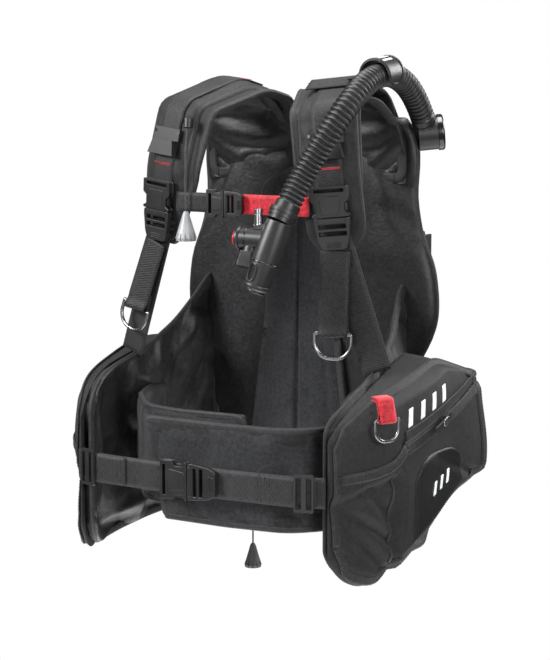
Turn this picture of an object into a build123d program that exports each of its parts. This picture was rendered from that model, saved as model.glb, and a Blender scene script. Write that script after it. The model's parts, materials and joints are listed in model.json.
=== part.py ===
"""Buoyancy compensator vest for scuba diving.

Sizes are in millimetres. The vest is drawn in wearer's coordinates: +X is the wearer's left, +Y is behind
the wearer, +Z is up, z = 0 is the bottom of the pockets and the Z axis runs down the middle of the torso.
The row's origin is the centre of the tank band, on the tank's axis, and every piece is moved there as
it is written.
"""

import os
from math import cos, radians, sin, tan

from build123d import *

os.makedirs("parts", exist_ok=True)

# Tank band, which sets the row's origin
TANK_R = 92.0
BAND_CENTRE = Vector(0, 257, 378)
BAND_W = 50.0
BAND_T = 2.3

# Webbing
WIDE_WEB = 38.0
SLIM_WEB = 25.0
WEB_T = 2.4

# Back: layers from the wearer outwards, along +Y
PAD_Y = (98.0, 121.0)
BLADDER_Y = (122.0, 149.0)
PLATE_Y = (150.0, 178.0)

# Lobes and pockets
LOBE_T = 20.0
POCKET_GAP = 0.6
BELT_Z = 132.0
CUMMERBUND_Z = (73.0, 205.0)

# Shoulder straps: each lies in an upright plane through its crest, turned outwards and tilted a little
CREST = Vector(80, 85, 615)
STRAP_TURN = 14.0
STRAP_TILT = 6.0
STRAP_W = 76.0
STRAP_T = 18.0

# Hoses and cords
HOSE_D = 32.0
HOSE_BORE_D = 25.0
CORD_D = 2.4

# Moving clearances
GAP = 0.5


def write(piece, name):
    """Moves a piece from the wearer's coordinates to the row's frame and writes it."""
    solid = piece.part if isinstance(piece, BuildPart) else piece
    solid = solid.moved(Location(-BAND_CENTRE))
    solid.label = name
    export_step(solid, f"parts/{name}.step")


def write_pair(piece, name):
    """Writes the wearer's left piece and its mirror image on the right."""
    solid = piece.part if isinstance(piece, BuildPart) else piece
    write(solid, f"{name}_left")
    write(mirror(solid, about=Plane.YZ), f"{name}_right")


def ribbon(plane, points, fillets, width, low, high):
    """Strip that follows a rounded path in a plane, from `low` to `high` on the path's left side."""
    with BuildPart() as strip:
        with BuildLine(plane) as path:
            FilletPolyline(*points, radius=fillets)
        start = Plane(origin=path.line @ 0, x_dir=-plane.z_dir, z_dir=path.line % 0)
        with BuildSketch(start):
            with Locations((0, (low + high) / 2)):
                Rectangle(width, high - low)
        sweep(path=path.line)
    return strip


def cord_radii(points):
    """Arc for each corner of a cord's route, a little under the largest that there is room for."""
    radii = []
    for before, corner, after in zip(points, points[1:], points[2:]):
        arriving, leaving = Vector(corner) - Vector(before), Vector(after) - Vector(corner)
        turn = radians(arriving.get_angle(leaving))
        radii.append(0.45 * min(arriving.length, leaving.length) / tan(turn / 2))
    return radii


def tube(name, points, diameter, bore=0.0):
    """Tube along straight runs joined by tangent arcs."""
    radii = cord_radii(points)
    with BuildPart() as piece:
        with BuildLine() as route:
            FilletPolyline(*points, radius=radii)
        with BuildSketch(Plane(origin=route.line @ 0, z_dir=route.line % 0)) as section:
            Circle(diameter / 2)
            if bore:
                Circle(bore / 2, mode=Mode.SUBTRACT)
        sweep(path=route.line)
    length = sum(edge.length for edge in route.edges())
    share = piece.part.volume / (section.sketch.area * length)
    print(f"{name}: length {length:.0f} mm, volume share {share:.3f}, radii {[round(r) for r in radii]}")
    return piece


# ---------------------------------------------------------------- side lobes and pockets

# Stations round the left side at pocket height: x, y, outward direction in degrees, lean inwards with height
LOBE_STATIONS = (
    (180.0, -144.0, -42.0, 0.00),
    (207.0, -85.0, -16.0, 0.15),
    (214.0, 0.0, 2.0, 0.25),
    (204.0, 78.0, 20.0, 0.22),
    (163.0, 144.0, 68.0, 0.03),
)
LEAN_FROM_Z = 150.0
POCKET_FACE = ((186, -146), (226, -96), (247, -20), (252, 65), (247, 148))
LOBE_OUTLINE = (
    (-170, 40), (-100, 12), (60, 22), (128, 30), (170, 60), (170, 366), (126, 366),
    (60, 300), (0, 268), (-90, 244), (-160, 214),
)
POCKET_OUTLINE = (
    (-155, 24), (-97, 3), (-58, 16), (15, 58), (85, 94), (155, 114), (155, 256),
    (60, 276), (-60, 248), (-155, 206),
)


def station_points(z, offset):
    """Points round the left lobe at one height, moved outwards by an offset."""
    points = []
    for x, y, outward, lean in LOBE_STATIONS:
        lean_in = lean * max(0.0, z - LEAN_FROM_Z)
        points.append((x - lean_in + offset * cos(radians(outward)), y + offset * sin(radians(outward))))
    return points


def wrapped_shell(sections):
    """Band round the left side, lofted through plan sections: height, inner points, outer points."""
    with BuildPart() as shell:
        for z, inside, outside in sections:
            with BuildSketch(Plane.XY.offset(z)):
                with BuildLine():
                    Spline(*inside)
                    Line(inside[-1], outside[-1])
                    Spline(*outside)
                    Line(outside[0], inside[0])
                make_face()
        loft()
    return shell


def side_outline(points, fillets):
    """Block across the left side whose outline, seen from the side, trims a lobe or a pocket."""
    with BuildPart() as block:
        with BuildSketch(Plane.YZ.offset(60)):
            with BuildLine():
                FilletPolyline(*points, radius=fillets, close=True)
            make_face()
        extrude(amount=260)
    return block


shell = wrapped_shell([(z, station_points(z, -LOBE_T), station_points(z, 0)) for z in (5, 150, 260, 372)])
lobe = shell.part & side_outline(LOBE_OUTLINE, 8).part
write_pair(lobe, "lobe")

shell = wrapped_shell([(z, station_points(z, -5), POCKET_FACE) for z in (0, 150, 282)])
clearance = wrapped_shell(
    [(z, station_points(z, -40), station_points(z, POCKET_GAP)) for z in (-10, 150, 260, 372)]
)
pocket = (shell.part - clearance.part) & side_outline(POCKET_OUTLINE, 8).part
write_pair(pocket.solids().sort_by(SortBy.VOLUME)[-1], "pocket")

# ---------------------------------------------------------------- back

BLADDER_OUTLINE = (
    (118, 30), (148, 60), (152, 286), (186, 328), (184, 376), (164, 424), (157, 470), (162, 524),
    (152, 570), (84, 575), (58, 548),
)
PAD_OUTLINE = ((84, 65), (79, 140), (53, 320), (62, 477), (40, 507))


def slab(half_outline, fillets, span_y):
    """Symmetric slab: an outline in the XZ plane, given for its left half, over a span of Y."""
    whole = list(half_outline) + [(-x, z) for x, z in reversed(half_outline)]
    with BuildPart() as piece:
        with BuildSketch(Plane.XZ.offset(-span_y[1])):
            with BuildLine():
                FilletPolyline(*whole, radius=fillets, close=True)
            make_face()
        extrude(amount=span_y[1] - span_y[0])
    return piece


write(slab(BLADDER_OUTLINE, 8, BLADDER_Y), "rear_bladder")
write(slab(PAD_OUTLINE, 6, PAD_Y), "back_pad")

# Backplate: a moulded plate hollowed to the tank, with a slot each side for the band
PLATE_HALF_W = 62.0
PLATE_Z = (250.0, 500.0)
CRADLE_R = TANK_R + BAND_T + 0.6
with BuildPart() as backplate:
    with BuildSketch(Plane.XZ.offset(-PLATE_Y[0])):
        with Locations((0, sum(PLATE_Z) / 2)):
            RectangleRounded(2 * PLATE_HALF_W, PLATE_Z[1] - PLATE_Z[0], 18)
    extrude(amount=PLATE_Y[0] - PLATE_Y[1])
    with BuildSketch(Plane.XY.offset(PLATE_Z[0] - 5)):
        with Locations((BAND_CENTRE.X, BAND_CENTRE.Y)):
            Circle(CRADLE_R)
    extrude(amount=PLATE_Z[1] - PLATE_Z[0] + 10, mode=Mode.SUBTRACT)
write(backplate, "backplate")

with BuildPart() as band:
    with BuildSketch(Plane.XY.offset(BAND_CENTRE.Z - BAND_W / 2)):
        with Locations((BAND_CENTRE.X, BAND_CENTRE.Y)):
            Circle(TANK_R + BAND_T)
            Circle(TANK_R, mode=Mode.SUBTRACT)
    extrude(amount=BAND_W)
write(band, "tank_band")

# Cam buckle on the band's left side: a frame, and a lever hinged on a pin parallel to the tank
CAM_X = TANK_R + BAND_T
CAM_PIN = Vector(CAM_X + 11.5, BAND_CENTRE.Y - 20, BAND_CENTRE.Z)
CAM_H = 68.0
with BuildPart() as cam_frame:
    with BuildSketch(Plane.YZ.offset(CAM_X)):
        with Locations((BAND_CENTRE.Y, BAND_CENTRE.Z)):
            RectangleRounded(58, CAM_H, 6)
            Rectangle(34, CAM_H - 16, mode=Mode.SUBTRACT)
    extrude(amount=6)
    for side in (-1, 1):
        with BuildSketch(Plane.XY.offset(BAND_CENTRE.Z + side * (CAM_H / 2 - 2))):
            with Locations((CAM_PIN.X - 2, CAM_PIN.Y)):
                RectangleRounded(14, 16, 3)
            with Locations((CAM_PIN.X, CAM_PIN.Y)):
                Circle(3.1, mode=Mode.SUBTRACT)
        extrude(amount=2, both=True)
write(cam_frame, "cam_buckle_frame")

LEVER_H = CAM_H - 10.0
with BuildPart() as cam_lever:
    with BuildSketch(Plane.XY.offset(CAM_PIN.Z - LEVER_H / 2)):
        with BuildLine():
            FilletPolyline(
                (CAM_PIN.X - 3.4, CAM_PIN.Y - 3.6), (CAM_PIN.X + 5, CAM_PIN.Y - 3.6),
                (CAM_PIN.X + 5, CAM_PIN.Y + 30), (CAM_PIN.X + 1, CAM_PIN.Y + 56),
                (CAM_PIN.X - 3, CAM_PIN.Y + 56), (CAM_PIN.X - 3, CAM_PIN.Y + 8), radius=1.5, close=True,
            )
        make_face()
    extrude(amount=LEVER_H)
    with BuildSketch(Plane.XY.offset(CAM_PIN.Z - CAM_H / 2)):
        with Locations((CAM_PIN.X, CAM_PIN.Y)):
            Circle(3.0)
    extrude(amount=CAM_H)
write(cam_lever, "cam_buckle_lever")

# Carry handle: a moulded loop that stands on the top of the backplate
HANDLE_Y = PLATE_Y[0] + 7
with BuildPart() as handle:
    with BuildLine() as arch:
        FilletPolyline(
            (-46, HANDLE_Y, PLATE_Z[1] - 6), (-42, HANDLE_Y, 548), (42, HANDLE_Y, 548),
            (46, HANDLE_Y, PLATE_Z[1] - 6), radius=14,
        )
    with BuildSketch(Plane(origin=arch.line @ 0, x_dir=(0, 1, 0), z_dir=arch.line % 0)):
        RectangleRounded(12, 16, 3)
    sweep(path=arch.line)
write(handle, "carry_handle")

# ---------------------------------------------------------------- cummerbund and waist belt

WING_T = 7.0
LEFT_WING = ((-86, -150), (40, -154), (124, -146), (157, -112), (172, -56), (175, 20))
RIGHT_WING = ((60, -138), (-40, -142), (-96, -128), (-150, -60), (-172, -10), (-175, 40))
LEFT_WING_TURN, RIGHT_WING_TURN = 1, -1


def wing(points, turn, span_z):
    """Stiff cloth band that follows a rounded plan path, its thickness on the torso's side."""
    with BuildPart() as band_piece:
        with BuildLine(Plane.XY.offset(sum(span_z) / 2)) as path:
            FilletPolyline(*points, radius=[120, 60, 30, 60])
        with BuildSketch(Plane(origin=path.line @ 0, x_dir=(0, 0, 1), z_dir=path.line % 0)):
            with Locations((0, -turn * WING_T / 2)):
                Rectangle(span_z[1] - span_z[0], WING_T)
        sweep(path=path.line)
    return band_piece


write(wing(LEFT_WING, LEFT_WING_TURN, CUMMERBUND_Z), "cummerbund_wing_left")
write(wing(RIGHT_WING, RIGHT_WING_TURN, (88, 215)), "cummerbund_wing_right")


def straight_web(start, end, facing, width):
    """Flat run of webbing between two points, its face turned towards a direction."""
    run = Vector(end) - Vector(start)
    across = run.cross(Vector(facing))
    with BuildPart() as web:
        with BuildSketch(Plane(origin=start, x_dir=across, z_dir=run)):
            Rectangle(width, WEB_T)
        extrude(amount=run.length)
    return web


BELT_FRONT_Y = -168.0
BELT_END = (181, -151)
with BuildPart() as belt_left:
    with BuildLine(Plane.XY.offset(BELT_Z)) as path:
        FilletPolyline((14, BELT_FRONT_Y), (60, BELT_FRONT_Y), (150, -161), BELT_END, radius=60)
    with BuildSketch(Plane(origin=path.line @ 0, x_dir=(0, 0, 1), z_dir=path.line % 0)):
        Rectangle(WIDE_WEB, WEB_T)
    sweep(path=path.line)
write_pair(belt_left, "waist_webbing")


# ---------------------------------------------------------------- buckles, rings and knobs

def side_release_buckle(plane, web):
    """Side-release buckle for webbing of a given width: the plane's Y runs up into the female half."""
    outer = web + 11
    thick = 0.12 * web + 4.6
    middle = thick / 2
    mouth = 0.62 * web
    prong = mouth - 1.0
    female_len, male_len = 1.02 * web, 1.08 * web
    wall = 1.9
    with BuildPart(plane) as female:
        with BuildSketch(plane):
            with Locations((0, female_len / 2)):
                RectangleRounded(outer, female_len, 3)
        extrude(amount=thick)
        with BuildSketch(plane.offset(-1)):
            with Locations((0, female_len - 5.5)):
                Rectangle(web + 1, 4.2)
        extrude(amount=thick + 2, mode=Mode.SUBTRACT)
        with BuildSketch(Plane(origin=plane.from_local_coords((0, -1, middle)), x_dir=plane.x_dir,
                               z_dir=plane.y_dir)):
            Rectangle(outer - 2 * wall - 2, thick - 2 * wall)
        extrude(amount=mouth + 1, mode=Mode.SUBTRACT)
        with BuildSketch(plane.offset(wall)):
            for side in (-1, 1):
                with Locations((side * outer / 2, 0.55 * mouth)):
                    RectangleRounded(6, 0.55 * mouth, 1.5)
        extrude(amount=thick - 2 * wall, mode=Mode.SUBTRACT)
    with BuildPart(plane) as male:
        with BuildSketch(plane):
            with Locations((0, -GAP - male_len / 2)):
                RectangleRounded(outer - 3, male_len, 4)
            with Locations((0, -0.28 * male_len), (0, -0.50 * male_len)):
                Rectangle(web + 1, 0.13 * male_len, mode=Mode.SUBTRACT)
        extrude(amount=thick)
        with BuildSketch(Plane(origin=plane.from_local_coords((0, -GAP - 1, middle)), x_dir=plane.x_dir,
                               z_dir=plane.y_dir)):
            Rectangle(7, thick - 2 * wall - 1)
            with Locations((-0.40 * web, 0), (0.40 * web, 0)):
                Rectangle(0.19 * web, thick - 2 * wall - 1)
        extrude(amount=prong)
    return female, male


def triglide(plane, web):
    """Flat slider with two slots, its bars across the webbing."""
    with BuildPart() as slider:
        with BuildSketch(plane):
            RectangleRounded(web + 9, 0.66 * web, 2.5)
            with Locations((0, 0.17 * web), (0, -0.17 * web)):
                Rectangle(web + 1, 0.18 * web, mode=Mode.SUBTRACT)
        extrude(amount=3.0)
    return slider


def d_ring(plane, web, wire, depth):
    """D-ring of round wire: its straight bar lies along the plane's X axis, the bow hangs towards -Y."""
    half = web / 2 + wire
    with BuildPart() as ring:
        with BuildLine(plane) as bend:
            Line((0, 0), (half, 0))
            FilletPolyline((half, 0), (half, -depth), (-half, -depth), (-half, 0), radius=0.86 * half)
            Line((-half, 0), (0, 0))
        with BuildSketch(Plane(origin=bend.line @ 0, z_dir=bend.line % 0)):
            Circle(wire / 2)
        sweep(path=bend.line, transition=Transition.ROUND)
    return ring


def web_loop(plane, web, wire):
    """Rolled end of webbing round a D-ring's bar."""
    with BuildPart() as loop:
        with BuildSketch(Plane(origin=plane.from_local_coords((-web / 2 + 1, 0, 0)), x_dir=plane.y_dir,
                               z_dir=plane.x_dir)):
            Circle(wire / 2 + 0.35 + WEB_T)
            Circle(wire / 2 + 0.35, mode=Mode.SUBTRACT)
        extrude(amount=web - 2)
    return loop


def dump_knob(top, height):
    """Bell-shaped pull knob with ribs, hung from its cord."""
    radius = 0.36 * height
    with BuildPart() as knob:
        with BuildSketch(Plane(origin=top, x_dir=(1, 0, 0), z_dir=(0, -1, 0))):
            with BuildLine():
                Polyline((0, 0), (2.6, 0), (4.2, -3))
                Spline((4.2, -3), (0.62 * radius, -0.45 * height), (radius, -height + 4))
                Polyline((radius, -height + 4), (radius - 1, -height), (0, -height), (0, 0))
            make_face()
        revolve(axis=Axis(top, (0, 0, 1)))
        with BuildSketch(Plane.XY.offset(top[2] - height - 1)):
            with Locations((top[0], top[1])):
                with PolarLocations(radius, 12):
                    Rectangle(4.0, 1.8)
        extrude(amount=0.62 * height, mode=Mode.SUBTRACT)
    return knob


# ---------------------------------------------------------------- shoulder straps

forward = Vector(sin(radians(STRAP_TURN)), -cos(radians(STRAP_TURN)), 0)
outward = Vector(cos(radians(STRAP_TURN)), sin(radians(STRAP_TURN)), 0)
rising = Vector(0, 0, 1) * cos(radians(STRAP_TILT)) - outward * sin(radians(STRAP_TILT))
STRAP = Plane(origin=CREST, x_dir=forward, z_dir=forward.cross(rising))
STRAP_FACE = ((-54, -54), (-40, -4), (15, 10), (112, -20), (129, -105), (124, -205))
STRAP_FILLETS = [30, 60, 28, 120]
ON_CREST = (60, -3.9)
FACE_BELOW = (127.8, -130)


def face_plane(start, end, height, proud):
    """Plane on a straight stretch of the strap's face: local Y up the strap, local Z away from it."""
    (x0, y0), (x1, y1) = start, end
    x = x0 + (x1 - x0) * (height - y0) / (y1 - y0)
    run = (STRAP.x_dir * (x0 - x1) + STRAP.y_dir * (y0 - y1)).normalized()
    across = -STRAP.z_dir
    facing = across.cross(run)
    return Plane(origin=STRAP.from_local_coords((x, height, 0)) + facing * proud, x_dir=across, z_dir=facing)


strap = ribbon(STRAP, STRAP_FACE, STRAP_FILLETS, STRAP_W, -STRAP_T, 0)
write_pair(strap, "shoulder_strap")
strap_web = ribbon(
    STRAP, (ON_CREST, (112, -20), (129, -105), FACE_BELOW), [28, 60], WIDE_WEB, GAP, GAP + WEB_T
)
write_pair(strap_web, "strap_webbing")

# Buckles hang on the strap's face
buckle_plane = face_plane(*STRAP_FACE[-2:], -160, 2 * GAP + WEB_T)
female, male = side_release_buckle(buckle_plane, WIDE_WEB)
write_pair(female, "shoulder_buckle_female")
write_pair(male, "shoulder_buckle_male")

# Webbing from the male half's slots: one run to the lobe's top edge, one tail with a D-ring
RING_WIRE = 4.6
LOBE_TOP = (184, -22, 270)
web_start = buckle_plane.from_local_coords((0, -26, -WEB_T / 2 - 3.8))
load_web = straight_web(web_start, LOBE_TOP, buckle_plane.z_dir, WIDE_WEB)
write_pair(load_web, "load_webbing")
tail_start = buckle_plane.from_local_coords((0, -43.5, 6.5))
tail_left_end = tail_start + Vector(-1, -3, -99)
ring_facing = buckle_plane.z_dir
tail_left = straight_web(tail_start, tail_left_end, ring_facing, WIDE_WEB)


def ring_plane(start, end):
    """Plane of a ring that hangs in line with a tail of webbing."""
    down = (end - start).normalized()
    centre = end + down * (RING_WIRE / 2 + 1.5)
    across = ring_facing.cross(down)
    return Plane(origin=centre, x_dir=across, z_dir=across.cross(-down))


left_ring = ring_plane(tail_start, tail_left_end)
write(tail_left.part + web_loop(left_ring, WIDE_WEB, RING_WIRE).part, "tail_webbing_left")
write(d_ring(left_ring, WIDE_WEB, RING_WIRE, 31), "tail_d_ring_left")
tail_right_end = tail_start + (Vector(LOBE_TOP) - web_start).normalized() * 88 + ring_facing * 5
tail_right = straight_web(tail_start, tail_right_end, ring_facing, WIDE_WEB)
right_ring = ring_plane(tail_start, tail_right_end)
tail_right_solid = tail_right.part + web_loop(right_ring, WIDE_WEB, RING_WIRE).part
write(mirror(tail_right_solid, about=Plane.YZ), "tail_webbing_right")
write(mirror(d_ring(right_ring, WIDE_WEB, RING_WIRE, 31).part, about=Plane.YZ), "tail_d_ring_right")

# Plastic ring and clip on each strap, above the buckle
clip_plane = face_plane(*STRAP_FACE[-3:-1], -68, GAP + WEB_T + 0.6)
with BuildPart() as accessory:
    with BuildSketch(clip_plane):
        with Locations((0, -13)):
            Trapezoid(46, 20, 76)
    extrude(amount=9)
    with BuildLine(Plane(origin=clip_plane.from_local_coords((0, 8, 3)), x_dir=clip_plane.x_dir,
                         z_dir=clip_plane.y_dir)) as bow:
        FilletPolyline((-21, -1), (-17, 13), (17, 13), (21, -1), radius=[9, 9])
    with BuildSketch(Plane(origin=bow.line @ 0, z_dir=bow.line % 0)):
        Circle(2.3)
    sweep(path=bow.line)
    with BuildSketch(clip_plane):
        with Locations((0, 5)):
            Rectangle(46, 16)
    extrude(amount=3.4)
write(accessory.part + mirror(accessory.part, about=Plane.YZ), "strap_clips")

# Sternum strap: black webbing and the female half on the right, red webbing on the left
STERNUM = Vector(-20, -49, 467)
sternum_plane = Plane(origin=STERNUM, x_dir=(0, 0, 1), z_dir=(0, -1, 0))
female, male = side_release_buckle(sternum_plane, SLIM_WEB)
write(female, "sternum_buckle_female")
write(male, "sternum_buckle_male")
STERNUM_BLACK = ((-98, -44, 467), (-26, -46.8, 467))
STERNUM_RED = ((-12, -46.8, 467), (98, -44, 467))
write(straight_web(*STERNUM_BLACK, (0, -1, 0), SLIM_WEB), "sternum_webbing_black")
write(straight_web(*STERNUM_RED, (0, -1, 0), SLIM_WEB), "sternum_webbing_red")

# Waist buckle and its sliders
waist_plane = Plane(origin=(0, BELT_FRONT_Y - WEB_T / 2 - GAP, BELT_Z), x_dir=(0, 0, 1), z_dir=(0, -1, 0))
female, male = side_release_buckle(waist_plane, WIDE_WEB)
write(female, "waist_buckle_female")
write(male, "waist_buckle_male")
SLIDER_X = 158.0
slider_plane = Plane(origin=(SLIDER_X, -162.6, BELT_Z), x_dir=(0, 0, 1), z_dir=(0.27, -0.963, 0))
slider = triglide(slider_plane, WIDE_WEB)
write(slider.part + mirror(slider.part, about=Plane.YZ), "belt_triglides")

# ---------------------------------------------------------------- inflator

# Hose: from an elbow behind the left shoulder, over the strap's outer edge, down to the inflator
HOSE_ROUTE = (
    (168, 138, 568), (167, 112, 606), (160, 62, 633), (158, 5, 627), (155, -38, 602),
    (140, -62, 567), (122, -74, 532), (108, -87, 500), (98, -104, 466),
)
HOSE_SPLIT = (Vector(*HOSE_ROUTE[3]) + Vector(*HOSE_ROUTE[4])) / 2
HOSE_SOCKET_R = HOSE_D / 2 + 0.9
# The hose bends at the split: the front length ends in a hollow ball that turns in the rear length's socket
with BuildPart() as hose_rear:
    add(tube("hose_rear", [Vector(*p) for p in HOSE_ROUTE[:4]] + [HOSE_SPLIT], HOSE_D, HOSE_BORE_D))
    with Locations(HOSE_SPLIT):
        Sphere(HOSE_SOCKET_R, mode=Mode.SUBTRACT)
write(hose_rear, "hose_rear")
with BuildPart() as hose_front:
    with Locations(HOSE_SPLIT):
        Sphere(HOSE_D / 2 - 0.1)
    add(tube("hose_front", [HOSE_SPLIT] + [Vector(*p) for p in HOSE_ROUTE[4:]], HOSE_D, 0))
    add(
        tube("hose_front bore", [HOSE_SPLIT] + [Vector(*p) for p in HOSE_ROUTE[4:]], HOSE_BORE_D, 0),
        mode=Mode.SUBTRACT,
    )
    with Locations(HOSE_SPLIT):
        Sphere(HOSE_BORE_D / 2, mode=Mode.SUBTRACT)
write(hose_front, "hose_front")

# Elbow valve: a spigot in the hose's end, a round housing, and a flange on the bladder
hose_start = (Vector(*HOSE_ROUTE[1]) - Vector(*HOSE_ROUTE[0])).normalized()
ELBOW = Vector(*HOSE_ROUTE[0]) - hose_start * 18
CAP_AXIS = Vector(0.86, 0.5, 0.1).normalized()
with BuildPart() as elbow:
    with BuildSketch(Plane(origin=HOSE_ROUTE[0], z_dir=-hose_start)):
        Circle(17)
    extrude(amount=18)
    with BuildSketch(Plane(origin=ELBOW, z_dir=CAP_AXIS)):
        Circle(22)
    extrude(amount=13, both=True)
    with BuildSketch(Plane(origin=ELBOW, z_dir=(-1, -0.12, -0.1))):
        Circle(13)
    extrude(amount=28)
write(elbow, "elbow_valve")
cap_plane = Plane(origin=ELBOW + CAP_AXIS * 13, z_dir=CAP_AXIS)
with BuildPart() as cap:
    with BuildSketch(cap_plane):
        Circle(23.5)
    extrude(amount=8)
    top_face = cap.faces().sort_by(Axis(cap_plane.origin, cap_plane.z_dir))[-1]
    fillet(top_face.edges(), 3)
write(cap, "elbow_cap")

# Flap: a moulded band over the hose where it crosses the shoulder, hinged on its inner edge
FLAP_T = 3.2
FLAP_BORE_R = HOSE_D / 2 + 3.0
FLAP_LENGTH = 40.0
FLAP_CENTRE = (Vector(*HOSE_ROUTE[2]) + Vector(*HOSE_ROUTE[3])) / 2
along_hose = (Vector(*HOSE_ROUTE[3]) - Vector(*HOSE_ROUTE[2])).normalized()
flap_plane = Plane(origin=FLAP_CENTRE - along_hose * (FLAP_LENGTH / 2), x_dir=(1, 0, 0), z_dir=along_hose)
with BuildPart() as flap:
    with BuildSketch(flap_plane):
        Circle(FLAP_BORE_R + FLAP_T)
        Circle(FLAP_BORE_R, mode=Mode.SUBTRACT)
        with Locations((0, -30)):
            Rectangle(60, 60, mode=Mode.SUBTRACT)
        with Locations((-FLAP_BORE_R - FLAP_T / 2, 0)):
            Circle(FLAP_T / 2)
    extrude(amount=FLAP_LENGTH)
write(flap, "hose_flap")

# Inflator: a body on the hose's end with a side branch, a mouthpiece below it and two buttons
HOSE_END = Vector(*HOSE_ROUTE[-1])
hose_down = (HOSE_END - Vector(*HOSE_ROUTE[-2])).normalized()
BODY_TOP = HOSE_END + hose_down * 15
BODY_END = Vector(72, -129, 372)
body_down = (BODY_END - BODY_TOP).normalized()
BODY_LENGTH = (BODY_END - BODY_TOP).length
BODY_R = 16.5
BRANCH_R = 14.0
BRANCH_ROOT = BODY_TOP + body_down * 24
BRANCH_AXIS = Vector(-1, -0.06, 0.02).normalized()
BRANCH_LENGTH = 47.0
MOUTH_ROOT = BRANCH_ROOT + BRANCH_AXIS * 27
MOUTH_AXIS = Vector(-0.12, -0.28, -0.95).normalized()
NIPPLE_ROOT = BRANCH_ROOT + BRANCH_AXIS * 20
NIPPLE_R = 5.5
NIPPLE_LENGTH = 24.0

with BuildPart() as collar:
    for lift, radius in ((0.3, 19.0), (5.3, 17.6), (10.3, 16.2)):
        with BuildSketch(Plane(origin=HOSE_END + hose_down * lift, z_dir=hose_down)):
            Circle(radius)
        extrude(amount=5.0)
write(collar, "hose_collar")

with BuildPart() as body:
    for share, radius in ((0, BODY_R), (0.45, BODY_R + 1.5), (1, BODY_R - 1.0)):
        with BuildSketch(Plane(origin=BODY_TOP + body_down * (BODY_LENGTH * share), x_dir=(1, 0, 0),
                               z_dir=body_down)):
            Circle(radius)
    loft()
    with BuildSketch(Plane(origin=BRANCH_ROOT, z_dir=BRANCH_AXIS)):
        Circle(BRANCH_R)
    extrude(amount=BRANCH_LENGTH)
    with BuildSketch(Plane(origin=MOUTH_ROOT, z_dir=MOUTH_AXIS)):
        Circle(10)
    extrude(amount=17)
    with BuildSketch(Plane(origin=BRANCH_ROOT + BRANCH_AXIS * (BRANCH_LENGTH + 1), z_dir=-BRANCH_AXIS)):
        Circle(10.5)
    extrude(amount=8, mode=Mode.SUBTRACT)
    with BuildSketch(Plane(origin=BODY_END + body_down, z_dir=-body_down)):
        Circle(12)
    extrude(amount=8, mode=Mode.SUBTRACT)
write(body, "inflator_body")

with BuildPart() as mouthpiece:
    with BuildSketch(Plane(origin=MOUTH_ROOT + MOUTH_AXIS * 17.2, x_dir=(1, 0, 0), z_dir=MOUTH_AXIS)):
        RectangleRounded(27, 20, 7)
    with BuildSketch(Plane(origin=MOUTH_ROOT + MOUTH_AXIS * 36, x_dir=(1, 0, 0), z_dir=MOUTH_AXIS)):
        RectangleRounded(32, 17, 7)
    loft()
    with BuildSketch(Plane(origin=MOUTH_ROOT + MOUTH_AXIS * 38, x_dir=(1, 0, 0), z_dir=-MOUTH_AXIS)):
        RectangleRounded(25, 10, 4.5)
    extrude(amount=14, mode=Mode.SUBTRACT)
write(mouthpiece, "mouthpiece")

with BuildPart() as inflate_button:
    with BuildSketch(Plane(origin=BRANCH_ROOT + BRANCH_AXIS * (BRANCH_LENGTH - 2.6), z_dir=BRANCH_AXIS)):
        Circle(10)
    extrude(amount=8)
    outer_face = inflate_button.faces().sort_by(Axis(BRANCH_ROOT, BRANCH_AXIS))[-1]
    fillet(outer_face.edges(), 2)
write(inflate_button, "inflate_button")
with BuildPart() as deflate_button:
    with BuildSketch(Plane(origin=BODY_END - body_down * 2.6, z_dir=body_down)):
        Circle(11.5)
    extrude(amount=9)
    outer_face = deflate_button.faces().sort_by(Axis(BODY_END, body_down))[-1]
    fillet(outer_face.edges(), 2)
write(deflate_button, "deflate_button")

with BuildPart() as nipple:
    with BuildSketch(Plane(origin=NIPPLE_ROOT + Vector(0, 0, BRANCH_R - 1), z_dir=(0, 0, 1))):
        RegularPolygon(7.5, 6)
    extrude(amount=6)
    with BuildSketch(Plane(origin=NIPPLE_ROOT + Vector(0, 0, BRANCH_R), z_dir=(0, 0, 1))):
        Circle(NIPPLE_R)
    extrude(amount=NIPPLE_LENGTH)
    with BuildSketch(Plane(origin=NIPPLE_ROOT + Vector(0, 0, BRANCH_R + 17), z_dir=(0, 0, 1))):
        Circle(NIPPLE_R + 1)
        Circle(NIPPLE_R - 1.2, mode=Mode.SUBTRACT)
    extrude(amount=2.4, mode=Mode.SUBTRACT)
write(nipple, "inflator_nipple")

# ---------------------------------------------------------------- dump valves

SHOULDER_DUMP = ((-79, -45, 562), (-80, -50, 544), (-79, -51.5, 518), (-79.4, -51.5, 487), (-79, -51.5, 455))
REAR_DUMP = ((-110, 163, 66), (-109, 168, 44), (-110, 169, 4), (-110, 169, -35))
write(tube("shoulder_dump_cord", SHOULDER_DUMP, CORD_D), "shoulder_dump_cord")
write(tube("rear_dump_cord", REAR_DUMP, CORD_D), "rear_dump_cord")
write(dump_knob(SHOULDER_DUMP[-1], 38.0), "shoulder_dump_knob")
write(dump_knob(REAR_DUMP[-1], 34.0), "rear_dump_knob")
with BuildPart() as guide:
    with BuildSketch(Plane(origin=(-79, -45, 562), z_dir=(0.05, -0.2, -1))):
        Circle(6)
        Circle(CORD_D / 2 + 0.3, mode=Mode.SUBTRACT)
    extrude(amount=-12)
write(guide, "shoulder_dump_guide")
with BuildPart() as rear_valve:
    with BuildSketch(Plane(origin=(-110, BLADDER_Y[1] + 0.2, 92), z_dir=(0, 1, 0))):
        Circle(27)
    extrude(amount=6)
    with BuildSketch(Plane(origin=(-110, BLADDER_Y[1] + 6, 92), z_dir=(0, 1, 0))):
        Circle(22)
    extrude(amount=7)
write(rear_valve, "rear_dump_valve")

# ---------------------------------------------------------------- pocket fittings

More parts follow.
